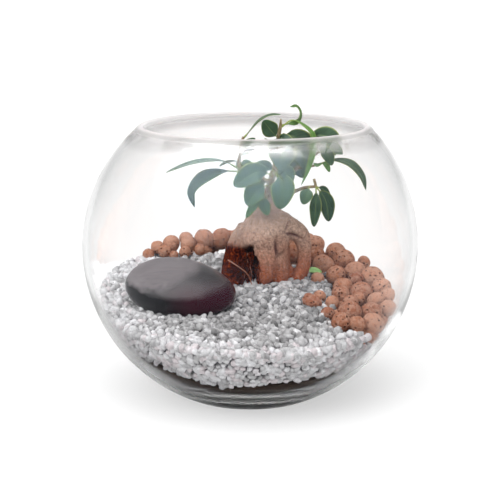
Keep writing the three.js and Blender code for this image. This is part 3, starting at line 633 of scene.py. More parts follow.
def keep(mesh, materials, slot, *nodes, spots=None, faces_of=None):
    """Puts a mesh into the scene as a finished piece on the part's one body: its materials, its
    values per point, and the solids it stands for."""
    for label, values in (spots or {}).items():
        kind = "FLOAT" if values.ndim == 1 else "FLOAT_VECTOR"
        attribute = mesh.attributes.new(label, kind, "POINT")
        key = "value" if values.ndim == 1 else "vector"
        attribute.data.foreach_set(key, values.astype(np.float32).ravel())
    for material in materials:
        mesh.materials.append(material)
    if faces_of is not None:
        mesh.polygons.foreach_set("material_index", faces_of.astype(np.int32))
    piece = bpy.data.objects.new(mesh.name, mesh)
    bpy.context.scene.collection.objects.link(piece)
    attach(piece, "root")
    if nodes:
        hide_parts(*nodes)
    return piece


def melted(name, surface, cell, rounds):
    """One skin over surfaces that run into each other: rebuilt on a grid of cubes, then its points
    are drawn towards their neighbours. Returns the mesh."""
    rough = bpy.data.objects.new(name + "_rough", mesh_of(name + "_rough", surface))
    bpy.context.scene.collection.objects.link(rough)
    grid = rough.modifiers.new("one skin", "REMESH")
    grid.mode, grid.voxel_size, grid.use_smooth_shade = "VOXEL", cell * MM, True
    soft = rough.modifiers.new("soft joins", "SMOOTH")
    soft.factor, soft.iterations = 0.5, rounds
    seen = rough.evaluated_get(bpy.context.evaluated_depsgraph_get())
    mesh = bpy.data.meshes.new_from_object(seen)
    mesh.name = name
    bpy.data.objects.remove(rough)
    return mesh


# ---------- finishes ----------
def paint(red, green, blue):
    """A colour of 0 to 255 a channel, as a screen shows it, turned to the light that it stands for."""
    share = np.array([red, green, blue]) / 255
    return tuple(np.where(share < 0.04045, share / 12.92, ((share + 0.055) / 1.055) ** 2.4))


def recipe(name):
    """A new empty material, and the function that adds its nodes."""
    material = bpy.data.materials.new(name)
    material.use_nodes = True
    material.node_tree.nodes.clear()
    return material, adder(material.node_tree)


def adder(tree):
    """A function that adds a node to a tree: its inputs by name or number, each a value or another
    node's output."""

    def add(kind, inputs=None, **settings):
        node = tree.nodes.new("ShaderNode" + kind)
        for key, value in settings.items():
            setattr(node, key, value)
        for key, value in (inputs or {}).items():
            if isinstance(value, bpy.types.NodeSocket):
                tree.links.new(value, node.inputs[key])
            else:
                node.inputs[key].default_value = value
        return node

    return add


def grain(add, size, detail=4.0, stretch=(1, 1, 1), roughness=0.55):
    """Cloudy noise in the piece's own space, as large as size millimetres, stretched on each axis."""
    place = add("TexCoord").outputs["Object"]
    scale = tuple(1 / (size * MM * s) for s in stretch)
    place = add("Mapping", {0: place, "Scale": scale}).outputs[0]
    return add("TexNoise", {0: place, "Scale": 1.0, "Detail": detail, "Roughness": roughness}).outputs[0]


def cells(add, size, feature="F1", jitter=1.0):
    """Distance to scattered points a size apart, in millimetres, in the piece's own space."""
    place = add("TexCoord").outputs["Object"]
    found = add("TexVoronoi", {"Vector": place, "Scale": 1 / (size * MM), "Randomness": jitter}, feature=feature)
    return found.outputs["Distance"]


def shades(add, factor, *stops, ease="LINEAR"):
    """A colour that runs through stops (place, colour) as factor rises."""
    ramp = add("ValToRGB", {0: factor})
    ramp.color_ramp.interpolation = ease
    while len(ramp.color_ramp.elements) < len(stops):
        ramp.color_ramp.elements.new(0.5)
    for element, (place, colour) in zip(ramp.color_ramp.elements, stops):
        element.position, element.color = place, (*colour, 1)
    return ramp.outputs[0]


def level(add, value, low, high, out_low=0.0, out_high=1.0):
    """value from low to high made out_low to out_high, and held there outside."""
    return add("MapRange", {0: value, 1: low, 2: high, 3: out_low, 4: out_high}).outputs[0]


def blended(add, share, first, second, way="MIX"):
    """Two colours mixed by a share."""
    node = add("Mix", data_type="RGBA", blend_type=way)
    tree = node.id_data
    for socket, value in ((node.inputs[0], share), (node.inputs[6], first), (node.inputs[7], second)):
        if isinstance(value, bpy.types.NodeSocket):
            tree.links.new(value, socket)
        elif isinstance(value, tuple):
            socket.default_value = (*value, 1)
        else:
            socket.default_value = value
    return node.outputs[2]


def reckon(add, way, first, second=0.0):
    """One sum of two values."""
    return add("Math", {0: first, 1: second}, operation=way).outputs[0]


def times(add, first, second):
    """Two values multiplied."""
    return reckon(add, "MULTIPLY", first, second)


def shaded(add, colour, tone):
    """A colour made darker or lighter by a tone round 1."""
    grey = add("CombineColor", {0: tone, 1: tone, 2: tone}).outputs[0]
    return blended(add, 1.0, colour, grey, "MULTIPLY")


def bumped(add, height, depth, strength=1.0):
    """A normal that rises with height, depth millimetres deep."""
    return add("Bump", {"Height": height, "Distance": depth * MM, "Strength": strength}).outputs[0]


def spot_value(add, label):
    """A value that the piece carries at each point."""
    return add("Attribute", attribute_name=label).outputs["Fac"]


def finished(add, material, colour, roughness, normal=None, **extra):
    """The coloured shader on the output."""
    inputs = {"Base Color": colour if isinstance(colour, bpy.types.NodeSocket) else (*colour, 1)}
    inputs["Roughness"] = roughness
    if normal is not None:
        inputs["Normal"] = normal
    inputs.update({key.replace("_", " "): value for key, value in extra.items()})
    shader = add("BsdfPrincipled", inputs).outputs[0]
    add("OutputMaterial", {"Surface": shader})
    return material


def clear_glass(tint):
    """Clear glass, faintly wavy, that darkens to its tint where it is seen edge on, in the thick heel and
    in a band up its lower sides: partly the glass's own colour along a long path, partly painted shade
    for its darker edges. The heel is streaky, the neck thin to the eye and the melted lip milky. It
    mirrors far less than real glass, and the studio's softbox is brighter to mirrored light to make up
    for it. Lamps and scattered light pass it straight."""
    material, add = recipe("clear_glass")
    height = add("SeparateXYZ", {0: add("TexCoord").outputs["Object"]}).outputs[2]
    heel, lip = level(add, height, 0.017, 0.01), level(add, height, 0.1985, 0.2)
    wave = bumped(add, grain(add, 60, 1.0, (1, 1, 0.35)), 0.5, 0.25)
    facing = add("LayerWeight", {"Blend": 0.5}).outputs["Facing"]
    # painted shade: the glass darkens where it is seen edge on, partly as its own tint
    edge_on = times(add, reckon(add, "POWER", facing, 4.0), level(add, height, 0.19, 0.17))
    # painted shade: a darker grey band up the lower sides, where the glass is not seen face on
    low = times(add, level(add, facing, 0.55, 0.8), level(add, height, 0.08, 0.03))
    streaks = level(add, grain(add, 1.6, 3, (14, 14, 1)), 0.3, 0.7, 0.5, 1.0)
    thick = reckon(add, "MAXIMUM", heel, low)
    shade = reckon(add, "MAXIMUM", edge_on, times(add, thick, streaks))
    rough = times(add, reckon(add, "MAXIMUM", thick, lip), 0.3)
    glass = add(
        "BsdfPrincipled",
        {
            "Base Color": blended(add, shade, (1.0, 1.0, 1.0), tint), "Roughness": rough, "IOR": 1.5,
            "Transmission Weight": 1.0, "Specular Tint": (0.13, 0.17, 0.22, 1), "Normal": wave,
        },
    ).outputs[0]
    thin = add("BsdfTransparent", {"Color": (0.97, 0.96, 0.96, 1)}).outputs[0]
    glass = add("MixShader", {0: level(add, height, 0.19, 0.199, 0, 0.6), 1: glass, 2: thin}).outputs[0]
    milky = add("BsdfDiffuse", {"Color": (0.8, 0.76, 0.77, 1)}).outputs[0]
    glass = add("MixShader", {0: level(add, height, 0.2015, 0.2027, 0, 0.4), 1: glass, 2: milky}).outputs[0]
    rays = add("LightPath").outputs
    straight = reckon(add, "MAXIMUM", rays["Is Shadow Ray"], rays["Is Diffuse Ray"])
    passing = add("BsdfTransparent", {"Color": (0.96, 0.97, 0.97, 1)}).outputs[0]
    add("OutputMaterial", {"Surface": add("MixShader", {0: straight, 1: glass, 2: passing}).outputs[0]})
    return material


def ground_foot():
    """The foot's underside, ground flat: grey and satin."""
    material, add = recipe("ground_foot")
    rings = grain(add, 9, 4)
    colour = shades(add, rings, (0.35, paint(30, 31, 31)), (0.65, paint(84, 86, 86)))
    return finished(add, material, colour, 0.35)


def damp_soil(dark, light):
    """Damp potting soil: dark crumbs, brown fibres and a few pale grains."""
    material, add = recipe("damp_potting_soil")
    crumbs = grain(add, 2.2, 6)
    colour = shades(add, crumbs, (0.3, dark), (0.52, light), (0.62, dark), (0.75, paint(122, 100, 84)))
    specks = level(add, cells(add, 1.7), 0.16, 0.1)
    colour = blended(add, times(add, specks, 0.6), colour, paint(150, 130, 112))
    return finished(add, material, colour, 0.92, bumped(add, crumbs, 1.5, 0.9), Specular_IOR_Level=0.02)


def crushed_marble(name, bright, dull):
    """Broken marble: each chip has its own grey, with faint veins and a slightly rough break. Chips
    nearest the glass are lighter and pinker, a painted haze of the glass over them.
    """
    material, add = recipe(name)
    own = spot_value(add, "tone_and_painted_haze")
    # painted haze: the top stops, lighter and pinker, go to the chips nearest the glass
    colour = shades(add, own, (0.0, dull), (0.45, bright), (0.92, paint(222, 220, 223)), (1.0, paint(206, 197, 200)))
    veins = level(add, grain(add, 3.0, 5), 0.35, 0.62, 0.74, 1.04)
    colour = shaded(add, colour, veins)
    rough = level(add, grain(add, 1.4, 3), 0.3, 0.7, 0.42, 0.7)
    return finished(add, material, colour, rough, bumped(add, grain(add, 0.9, 4), 0.35, 0.5), Specular_IOR_Level=0.14)


def fired_clay(body, dust):
    """Expanded clay: a dusty fired skin with a few dark pits and burnt patches, its own shade a pebble,
    lighter next to the glass as a painted haze.
    """
    material, add = recipe("fired_clay")
    own = spot_value(add, "tone_and_painted_haze")
    # painted haze: the lightest stop goes to the pebbles next to the glass
    colour = shades(add, own, (0.0, paint(142, 86, 66)), (0.5, body), (1.0, paint(210, 160, 138)))
    patches = level(add, grain(add, 4, 5, roughness=0.7), 0.4, 0.6)
    colour = blended(add, times(add, patches, 0.6), colour, dust)
    burnt = level(add, grain(add, 3, 5, roughness=0.75), 0.46, 0.36)
    colour = blended(add, times(add, burnt, 0.5), colour, paint(88, 46, 34))
    pits = level(add, cells(add, 3.8), 0.22, 0.12)
    colour = blended(add, times(add, pits, 0.8), colour, paint(52, 28, 22))
    height = reckon(add, "SUBTRACT", grain(add, 2.2, 5, roughness=0.7), pits)
    return finished(add, material, colour, 0.95, bumped(add, height, 2.2, 1.0), Specular_IOR_Level=0.04)


def river_polish(body, top_wear_and_sheen):
    """A river-worn stone: near black below, with a painted dark purple reflection and shadow of the trunk
    at its right end, and a matt grey on top that is partly wear and partly a painted reflection of the
    overhead light, with fine scratches and hair veins."""
    material, add = recipe("river_polish")
    across, _, height = add("SeparateXYZ", {0: add("TexCoord").outputs["Object"]}).outputs
    drift = reckon(add, "ADD", height, times(add, grain(add, 14, 4), 0.012))
    aside = reckon(add, "ABSOLUTE", reckon(add, "ADD", across, 0.047))
    rise = reckon(add, "SUBTRACT", drift, times(add, aside, 0.2))
    facet = reckon(add, "SUBTRACT", drift, times(add, across, 0.35))
    # partly painted reflection: the top is lighter grey, as matt wear and as the overhead light mirrored
    worn_and_lit_top = times(add, level(add, rise, 0.0855, 0.0895), level(add, facet, 0.116, 0.121, 0.3, 1))
    clouds = level(add, grain(add, 12, 6, (2.5, 1, 1)), 0.3, 0.7, 0.8, 1.15)
    # painted reflection and shadow: the right end goes dark purple, for the trunk mirrored in it and shading it
    painted_trunk_reflection = times(add, level(add, across, -0.062, -0.045), level(add, height, 0.094, 0.086))
    dark = blended(add, painted_trunk_reflection, body, paint(40, 1, 15))
    colour = blended(add, worn_and_lit_top, dark, top_wear_and_sheen)
    colour = shaded(add, colour, clouds)
    hairs = level(add, grain(add, 9, 2, (3.5, 0.5, 1)), 0.49, 0.505)
    hairs = times(add, hairs, level(add, grain(add, 9, 2, (3.5, 0.5, 1)), 0.52, 0.505))
    colour = blended(add, times(add, hairs, 0.55), colour, paint(20, 16, 20))
    rough = level(add, worn_and_lit_top, 0, 1, 0.16, 0.6)
    normal = bumped(add, grain(add, 1.6, 4), 0.08, 0.3)
    return finished(add, material, colour, rough, normal, Specular_IOR_Level=0.12)


def ficus_bark(high, low):
    """Smooth ficus bark: pink-beige above, orange-brown towards the soil, finely speckled, with painted
    purple shade in its creases, and dark red-brown where the left root has rotted, going to painted
    black shade in its hollow."""
    material, add = recipe("ficus_bark")
    height = add("SeparateXYZ", {0: add("TexCoord").outputs["Object"]}).outputs[2]
    down = reckon(add, "ADD", height, times(add, grain(add, 14, 3), 0.03))
    colour = blended(add, level(add, down, 0.098, 0.135), low, high)
    streaks = grain(add, 2.2, 6, (1, 1, 3), 0.65)
    speckle = grain(add, 1.5, 5, roughness=0.8)
    tone = times(add, level(add, streaks, 0.38, 0.62, 0.84, 1.12), level(add, speckle, 0.4, 0.6, 0.64, 1.36))
    colour = shaded(add, colour, tone)
    pores = level(add, cells(add, 3.1), 0.2, 0.12)
    colour = blended(add, times(add, pores, 0.3), colour, paint(214, 196, 178))
    # painted shade: purple in the slot and the creases between the limbs
    colour = blended(add, times(add, spot_value(add, "painted_crease_shade"), 0.85), colour, paint(84, 54, 62))
    rust = shades(add, speckle, (0.42, paint(10, 0, 0)), (0.54, paint(56, 8, 1)), (0.62, paint(156, 68, 22)))
    colour = blended(add, spot_value(add, "rotten"), colour, rust)
    # painted shade: near black inside the rotted hollow
    colour = blended(add, level(add, spot_value(add, "hollow_and_painted_shade"), 0.1, 0.6), colour, paint(14, 3, 2))
    return finished(add, material, colour, 0.62, bumped(add, speckle, 0.8, 0.8), Specular_IOR_Level=0.03)


def ficus_leaf(name, old, young):
    """A ficus leaf: leathery and dark above, matt and paler below, a pale middle rib, faint side
    veins that leave it at a slant, and a thin yellow edge."""
    material, add = recipe(name)
    across, length, side = add(
        "SeparateXYZ", {0: add("Attribute", attribute_name="leaf_place").outputs["Vector"]}
    ).outputs
    age = spot_value(add, "leaf_age")
    away = reckon(add, "ABSOLUTE", across)
    colour = shades(add, age, (0.1, old), (0.5, paint(60, 86, 62)), (0.9, young))
    cloud = level(add, grain(add, 6, 4), 0.3, 0.7, 0.72, 1.28)
    colour = shaded(add, colour, cloud)
    slant = reckon(add, "SUBTRACT", times(add, length, 17), times(add, away, 2.2))
    side_vein = reckon(add, "PINGPONG", slant, 0.5)
    side_vein = level(add, side_vein, 0.1, 0.0)
    rib = level(add, away, 0.05, 0.015)
    vein = reckon(add, "MAXIMUM", rib, times(add, side_vein, 0.4))
    colour = blended(add, times(add, vein, 0.4), colour, paint(140, 160, 96))
    edge = level(add, away, 0.86, 0.97)
    colour = blended(add, times(add, edge, 0.5), colour, paint(170, 180, 90))
    stalk = level(add, length, 0.2, 0.12)
    colour = blended(add, times(add, stalk, 0.8), colour, paint(150, 160, 84))
    under = level(add, side, 0.6, 0.4)
    colour = blended(add, times(add, under, 0.6), colour, paint(128, 142, 112))
    rough = level(add, side, 0.4, 0.6, 0.62, 0.34)
    height = reckon(add, "SUBTRACT", grain(add, 0.8, 3), times(add, vein, 0.8))
    return finished(add, material, colour, rough, bumped(add, height, 0.3, 0.5), Specular_IOR_Level=0.16)


def twig_bark():
    """A young twig: green-brown with fine cracks and leaf scars."""
    material, add = recipe("twig_bark")
    cracks = grain(add, 1.1, 5, (1, 1, 2.5))
    colour = shades(add, cracks, (0.3, paint(74, 60, 44)), (0.5, paint(122, 106, 76)), (0.7, paint(150, 138, 104)))
    return finished(add, material, colour, 0.7, bumped(add, cracks, 0.4, 0.7))


def pale_floor(colour, glow):
    """A pale matt floor with the faintest cloud, lit a little from below."""
    material, add = recipe("pale_floor")
    cloud = level(add, grain(add, 300, 2), 0.3, 0.7, 0.985, 1.0)
    tone = shaded(add, colour, cloud)
    return finished(add, material, tone, 0.9, Emission_Color=(1, 1, 1, 1), Emission_Strength=glow)


# ---------- settings ----------
class BowlSettings(bpy.types.PropertyGroup):
    # the glass's colour edge on, also used as painted shade on its edges and lower sides
    tint: FloatVectorProperty(
        name="Glass tint", description="Colour of the glass seen edge on", subtype="COLOR",
        default=(0.4, 0.42, 0.42), min=0, max=1,
    )  # fmt: skip
    around: IntProperty(name="Facets", description="Facets round the bowl", default=192, min=36, max=360)


class BedSettings(bpy.types.PropertyGroup):
    chip: FloatProperty(
        name="Chip", description="Half the length of a marble chip", default=3.2 * MM, min=0.5 * MM, unit="LENGTH"
    )
    chip_spacing: FloatProperty(
        name="Chip spacing", description="Distance between chips", default=4.6 * MM, min=1.5 * MM, unit="LENGTH"
    )
    marble: FloatVectorProperty(
        name="Marble", description="Colour of most chips", subtype="COLOR", default=paint(164, 162, 163)
    )
    marble_dull: FloatVectorProperty(
        name="Dull marble", description="Colour of the darkest chips", subtype="COLOR", default=paint(104, 103, 104)
    )
    soil_dark: FloatVectorProperty(
        name="Soil", description="Colour of the damp crumbs", subtype="COLOR", default=paint(18, 12, 10)
    )
    soil_light: FloatVectorProperty(
        name="Soil fibres", description="Colour of the fibres", subtype="COLOR", default=paint(58, 43, 35)
    )
    clay: FloatVectorProperty(
        name="Clay", description="Colour of the fired clay", subtype="COLOR", default=paint(174, 116, 88)
    )
    clay_dust: FloatVectorProperty(
        name="Clay dust", description="Colour of the dust", subtype="COLOR", default=paint(190, 152, 134)
    )
    stone: FloatVectorProperty(
        name="Stone", description="Colour of the river stone", subtype="COLOR", default=paint(12, 9, 11)
    )
    # the stone's paler top: its wear, and a painted reflection of the overhead light
    stone_top_wear_and_sheen: FloatVectorProperty(
        name="Stone wear", description="Colour of its paler wear", subtype="COLOR", default=paint(102, 96, 98)
    )


class PlantSettings(bpy.types.PropertyGroup):
    skin_cell: FloatProperty(
        name="Trunk grid", description="Cell of the trunk's one skin", default=0.9 * MM, min=0.5 * MM, unit="LENGTH"
    )
    bark_high: FloatVectorProperty(
        name="Upper bark", description="Bark high on the trunk", subtype="COLOR", default=paint(164, 138, 124)
    )
    bark_low: FloatVectorProperty(
        name="Lower bark", description="Bark towards the soil", subtype="COLOR", default=paint(148, 86, 62)
    )
    leaf_old: FloatVectorProperty(
        name="Old leaf", description="Colour of an old leaf", subtype="COLOR", default=paint(34, 54, 42)
    )
    leaf_young: FloatVectorProperty(
        name="Young leaf", description="Colour of a young leaf", subtype="COLOR", default=paint(82, 116, 56)
    )


class StageSettings(bpy.types.PropertyGroup):
    floor: FloatVectorProperty(
        name="Floor", description="Colour of the floor", subtype="COLOR", default=(0.4, 0.4, 0.4)
    )
    glow: FloatProperty(name="Floor light", description="Light that the floor gives off", default=0.5, min=0)
    underneath: FloatProperty(
        name="Underneath", description="What the glass shows of the dark under the bowl", default=0.03, min=0
    )
    room: FloatProperty(name="Room", description="Brightness all round the bowl", default=0.72, min=0)
    softbox: FloatProperty(name="Softbox", description="Brightness of the softbox overhead", default=2.9, min=0)
    mirror_gain: FloatProperty(
        name="Softbox in the glass", description="Times brighter the softbox is to mirrored light", default=3.8, min=0
    )
    lens: FloatProperty(name="Lens", description="Focal length", default=96.0, min=10, unit="CAMERA")


# ---------- operators ----------
class BOWL_OT_glass(bpy.types.Operator):
    """Blow the bowl: a flat foot, a thick heel, an even wall and a melted lip"""

    bl_idname = "planted_bowl.glass"
    bl_label = "Glass bowl"

    def execute(self, context):
        settings = context.scene.planted_bowl
        outer = np.linspace(BASE_ANGLE + 0.03, RIM_ANGLE, 72)
        inner = np.linspace(RIM_ANGLE, -math.pi / 2 + 0.004, 88)
        reach_out, reach_in = outside_reach(outer), inside_reach(inner)
        outside = np.stack([reach_out * np.cos(outer), EQUATOR + reach_out * np.sin(outer)], axis=1)
        inside = np.stack([reach_in * np.cos(inner), EQUATOR + reach_in * np.sin(inner)], axis=1)
        middle, across = (outside[-1] + inside[0]) / 2, (outside[-1] - inside[0]) / 2
        turn = np.linspace(0, math.pi, 12)[1:-1, None]
        lip = middle + across * np.cos(turn) + np.array([-across[1], across[0]]) * np.sin(turn)
        flat = np.stack([np.linspace(0.3, 1, 6) * (BASE_RADIUS - 2), np.zeros(6)], axis=1)
        t = np.linspace(0, 1, 8)[1:-1, None]
        foot = (1 - t) ** 2 * flat[-1] + 2 * t * (1 - t) * np.array([BASE_RADIUS + 0.6, 0]) + t**2 * outside[0]
        profile = np.vstack([flat, foot, outside, lip, inside])
        angle = np.linspace(0, 2 * math.pi, settings.around, endpoint=False)
        r, z = profile[:, :1], np.broadcast_to(profile[:, 1:], (len(profile), settings.around))
        lean = LEAN * (np.maximum(0, z - EQUATOR) / (HEIGHT - EQUATOR)) ** 2
        surface = skin(np.stack([r * np.cos(angle) + lean, r * np.sin(angle), z], axis=-1))
        low = surface[0][:, 2] < 0.01
        faces = np.concatenate([low[surface[1]].all(1), low[surface[2]].all(1)])
        glass = clear_glass(tuple(settings.tint))
        keep(mesh_of("bowl", surface), [glass, ground_foot()], "clear_glass", "glass_bowl", faces_of=faces)
        return {"FINISHED"}


class BOWL_OT_soil(bpy.types.Operator):
    """Fill in the potting soil, crumbly where it shows through the glass"""

    bl_idname = "planted_bowl.soil"
    bl_label = "Potting soil"

    def execute(self, context):
        bed = context.scene.planted_beds
        surface = poured_bed(soil_at, None, 600, 40, GAP, 1.3)
        soil = damp_soil(tuple(bed.soil_dark), tuple(bed.soil_light))
        keep(mesh_of("potting_soil", surface), [soil], "potting_soil", "soil")
        return {"FINISHED"}


class BOWL_OT_gravel(bpy.types.Operator):
    """Spread the crushed marble: a packed bed, loose chips on it in layers, and chips at the glass"""

    bl_idname = "planted_bowl.gravel"
    bl_label = "Marble chips"

    def execute(self, context):
        bed = context.scene.planted_beds
        chip, spacing = bed.chip / MM, bed.chip_spacing / MM
        marble = crushed_marble("crushed_marble", tuple(bed.marble), tuple(bed.marble_dull))
        # painted shade: the packed bed under the loose chips is a darker copy of the marble, for the shade in the gaps
        # between chips
        gap_shade_marble = crushed_marble("packed_marble_painted_shade", paint(120, 120, 124), paint(84, 84, 88))
        clay_zone = clay_plan(-2)

        def packed_top(x, y):
            return chips_at(x, y) - 3.2 - 7 * within(clay_plan(1), x, y)

        surface = poured_bed(packed_top, lambda x, y: soil_at(x, y) + GAP, 360, 60, 2.6, 0.8)
        shade = np.full(len(surface[0]), 0.2)
        keep(mesh_of("packed_chips", surface), [gap_shade_marble], "marble_chips", "gravel", spots={"tone_and_painted_haze": shade})

        rng = np.random.default_rng(4)
        lattice = np.arange(-RADIUS, RADIUS, spacing)
        spots = []
        for layer in range(3):
            x, y = np.meshgrid(lattice, lattice * math.sqrt(0.75))
            x = x + (np.arange(len(lattice))[:, None] % 2 + layer) * spacing / 2
            x, y = (x + rng.normal(0, 0.75, x.shape)).ravel(), (y + rng.normal(0, 0.75, y.shape)).ravel()
            z = chips_at(x, y) - 1.1 - 1.9 * layer + rng.normal(0, 0.45, x.shape)
            spot = np.stack([x, y, z], axis=1)
            keeps = (np.hypot(x, y) < inside_radius(z) - 1.3) & ~within(clay_zone, x, y)
            keeps &= ~inside_stone(spot, 0.3) & ~inside_limbs(spot, 0.4)
            spots.append(spot[keeps])
        top = np.vstack(spots)
        around = np.arange(0, 2 * math.pi, spacing / 108)
        rows = []
        for row, down in enumerate(np.arange(1.5, 46, spacing * 0.8)):
            angle = around + (row % 2) * spacing / 216 + rng.normal(0, 0.007, around.shape)
            r = np.full(around.shape, 105.0)
            for _ in range(6):
                z = chips_at(r * np.cos(angle), r * np.sin(angle)) - down
                r = inside_radius(z) - 1.9
            x, y = r * np.cos(angle), r * np.sin(angle)
            z = z + rng.normal(0, 0.6, z.shape)
            shown = z > soil_at(x, y) + 1.2
            shown &= ~within(clay_plan(0), x, y) | (down > 11)
            rows.append(np.stack([x, y, z], axis=1)[shown])
        wall = np.vstack(rows)
        for name, centres in (("loose_chips", top), ("chips_at_the_glass", wall)):
            count = len(centres)
            sizes = chip * rng.uniform(0.7, 1.15, (count, 1))
            sizes = sizes * rng.uniform((0.95, 0.75, 0.6), (1.2, 0.95, 0.85), (count, 3))
            points, quads, owner = crushed_chips(centres, sizes, random_turns(rng, count), rng)
            points = kept_in_glass(points, 0.25).reshape(-1, 3)
            # painted haze: chips are lighter the nearer they lie to the glass, and so darker towards the middle
            near = smoothstep(0.6, 1, np.hypot(centres[:, 0], centres[:, 1]) / inside_radius(centres[:, 2]))
            shade = np.clip(0.85 * rng.beta(1.8, 2, count) - 0.02 + 0.42 * near, 0, 1)[owner]
            mesh = mesh_of(name, (points, quads, np.zeros((0, 3), int)))
            keep(mesh, [marble], "marble_chips", "gravel", spots={"tone_and_painted_haze": shade})
        return {"FINISHED"}


class BOWL_OT_clay(bpy.types.Operator):
    """Heap up the clay pebbles where the solids have them, on a second layer, and the stray one"""

    bl_idname = "planted_bowl.clay"
    bl_label = "Clay pebbles"

    def execute(self, context):
        bed = context.scene.planted_beds
        clay = fired_clay(tuple(bed.clay), tuple(bed.clay_dust))
        rng = np.random.default_rng(9)
        upper = clay_spots()
        lower = upper.copy()
        lower[:, :2] += rng.normal(0, 5, (len(lower), 2))
        lower[:, 2] = pile_at(lower[:, 0], lower[:, 1]) - 9.5
        room = inside_radius(lower[:, 2]) - lower[:, 3] - GAP
        far = np.hypot(lower[:, 0], lower[:, 1])
        lower[:, :2] *= np.minimum(1, room / far)[:, None]
        lower = lower[within(clay_plan(-3), lower[:, 0], lower[:, 1])]
        stray = np.array([STRAY_PEBBLE])
        for name, spots, cells_each, rough, node in (
            ("clay_pebble_pile", np.vstack([upper, CLAY_ROUND_THE_EDGE, lower]), 8, 1.0, "clay_pebbles"),
            ("stray_pebble", stray, 16, 2.2, "stray_clay_pebble"),
        ):
            ball, quads = ball_grid(cells_each)
            count = len(spots)
            axes = rng.uniform(0.93, 1.04, (count, 1, 3))
            local = np.einsum("nij,nkj->nki", random_turns(rng, count), ball[None] * axes)
            offset = 40.0 * np.arange(count)[:, None, None]
            lumps = 0.055 * mottle(local * 3 + offset, 2.4, 5) + 0.03 * mottle(local * 3 + offset, 0.9, 6)
            local = local * (1 + rough * lumps[..., None])
            if count == 1:
                local = local * (1.3, 1, 0.85)
                local = local @ np.array(Euler((0.2, 0.5, 0), "XYZ").to_matrix()).T
            points = spots[:, None, :3] + spots[:, None, 3:] * local
            points = kept_in_glass(points, 0.25).reshape(-1, 3)
            faces = (quads[None] + len(ball) * np.arange(count)[:, None, None]).reshape(-1, 4)
            # painted haze: pebbles by the glass are lighter
            painted_haze_by_glass = smoothstep(80, 110, np.hypot(spots[:, 0], spots[:, 1]))
            shade = np.repeat(rng.uniform(0, 0.7, count) + 0.3 * painted_haze_by_glass, len(ball))
            mesh = mesh_of(name, (points, faces, np.zeros((0, 3), int)))
            keep(mesh, [clay], "fired_clay", node, spots={"tone_and_painted_haze": shade})
        return {"FINISHED"}


class BOWL_OT_stone(bpy.types.Operator):
    """Lay the river stone: an egg-like ellipsoid, slimmer at one end and flatter below"""

    bl_idname = "planted_bowl.stone"
    bl_label = "River stone"

    def execute(self, context):
        bed = context.scene.planted_beds
        tilt, turn = np.meshgrid(
            np.linspace(0.02, math.pi - 0.02, 72), np.linspace(0, 2 * math.pi, 128, endpoint=False), indexing="ij"
        )
        x, y, z = np.sin(tilt) * np.cos(turn), np.sin(tilt) * np.sin(turn), np.cos(tilt)
        slim = 1 - 0.1 * x - 0.05 * x * x
        low = 1 - 0.08 * smoothstep(0.1, -0.3, z)
        half = STONE_HALF
        local = np.stack([x * half[0], y * half[1] * slim, z * half[2] * slim * low], axis=-1)
        local *= 1 + 0.012 * mottle(local, 22, 2)[..., None] + 0.004 * mottle(local, 8, 4)[..., None]
        points = local @ stone_turn().T + np.array(STONE_CENTRE)
        polish = river_polish(tuple(bed.stone), tuple(bed.stone_top_wear_and_sheen))
        keep(mesh_of("stone", skin(points)), [polish], "polished_stone", "river_stone")
        return {"FINISHED"}


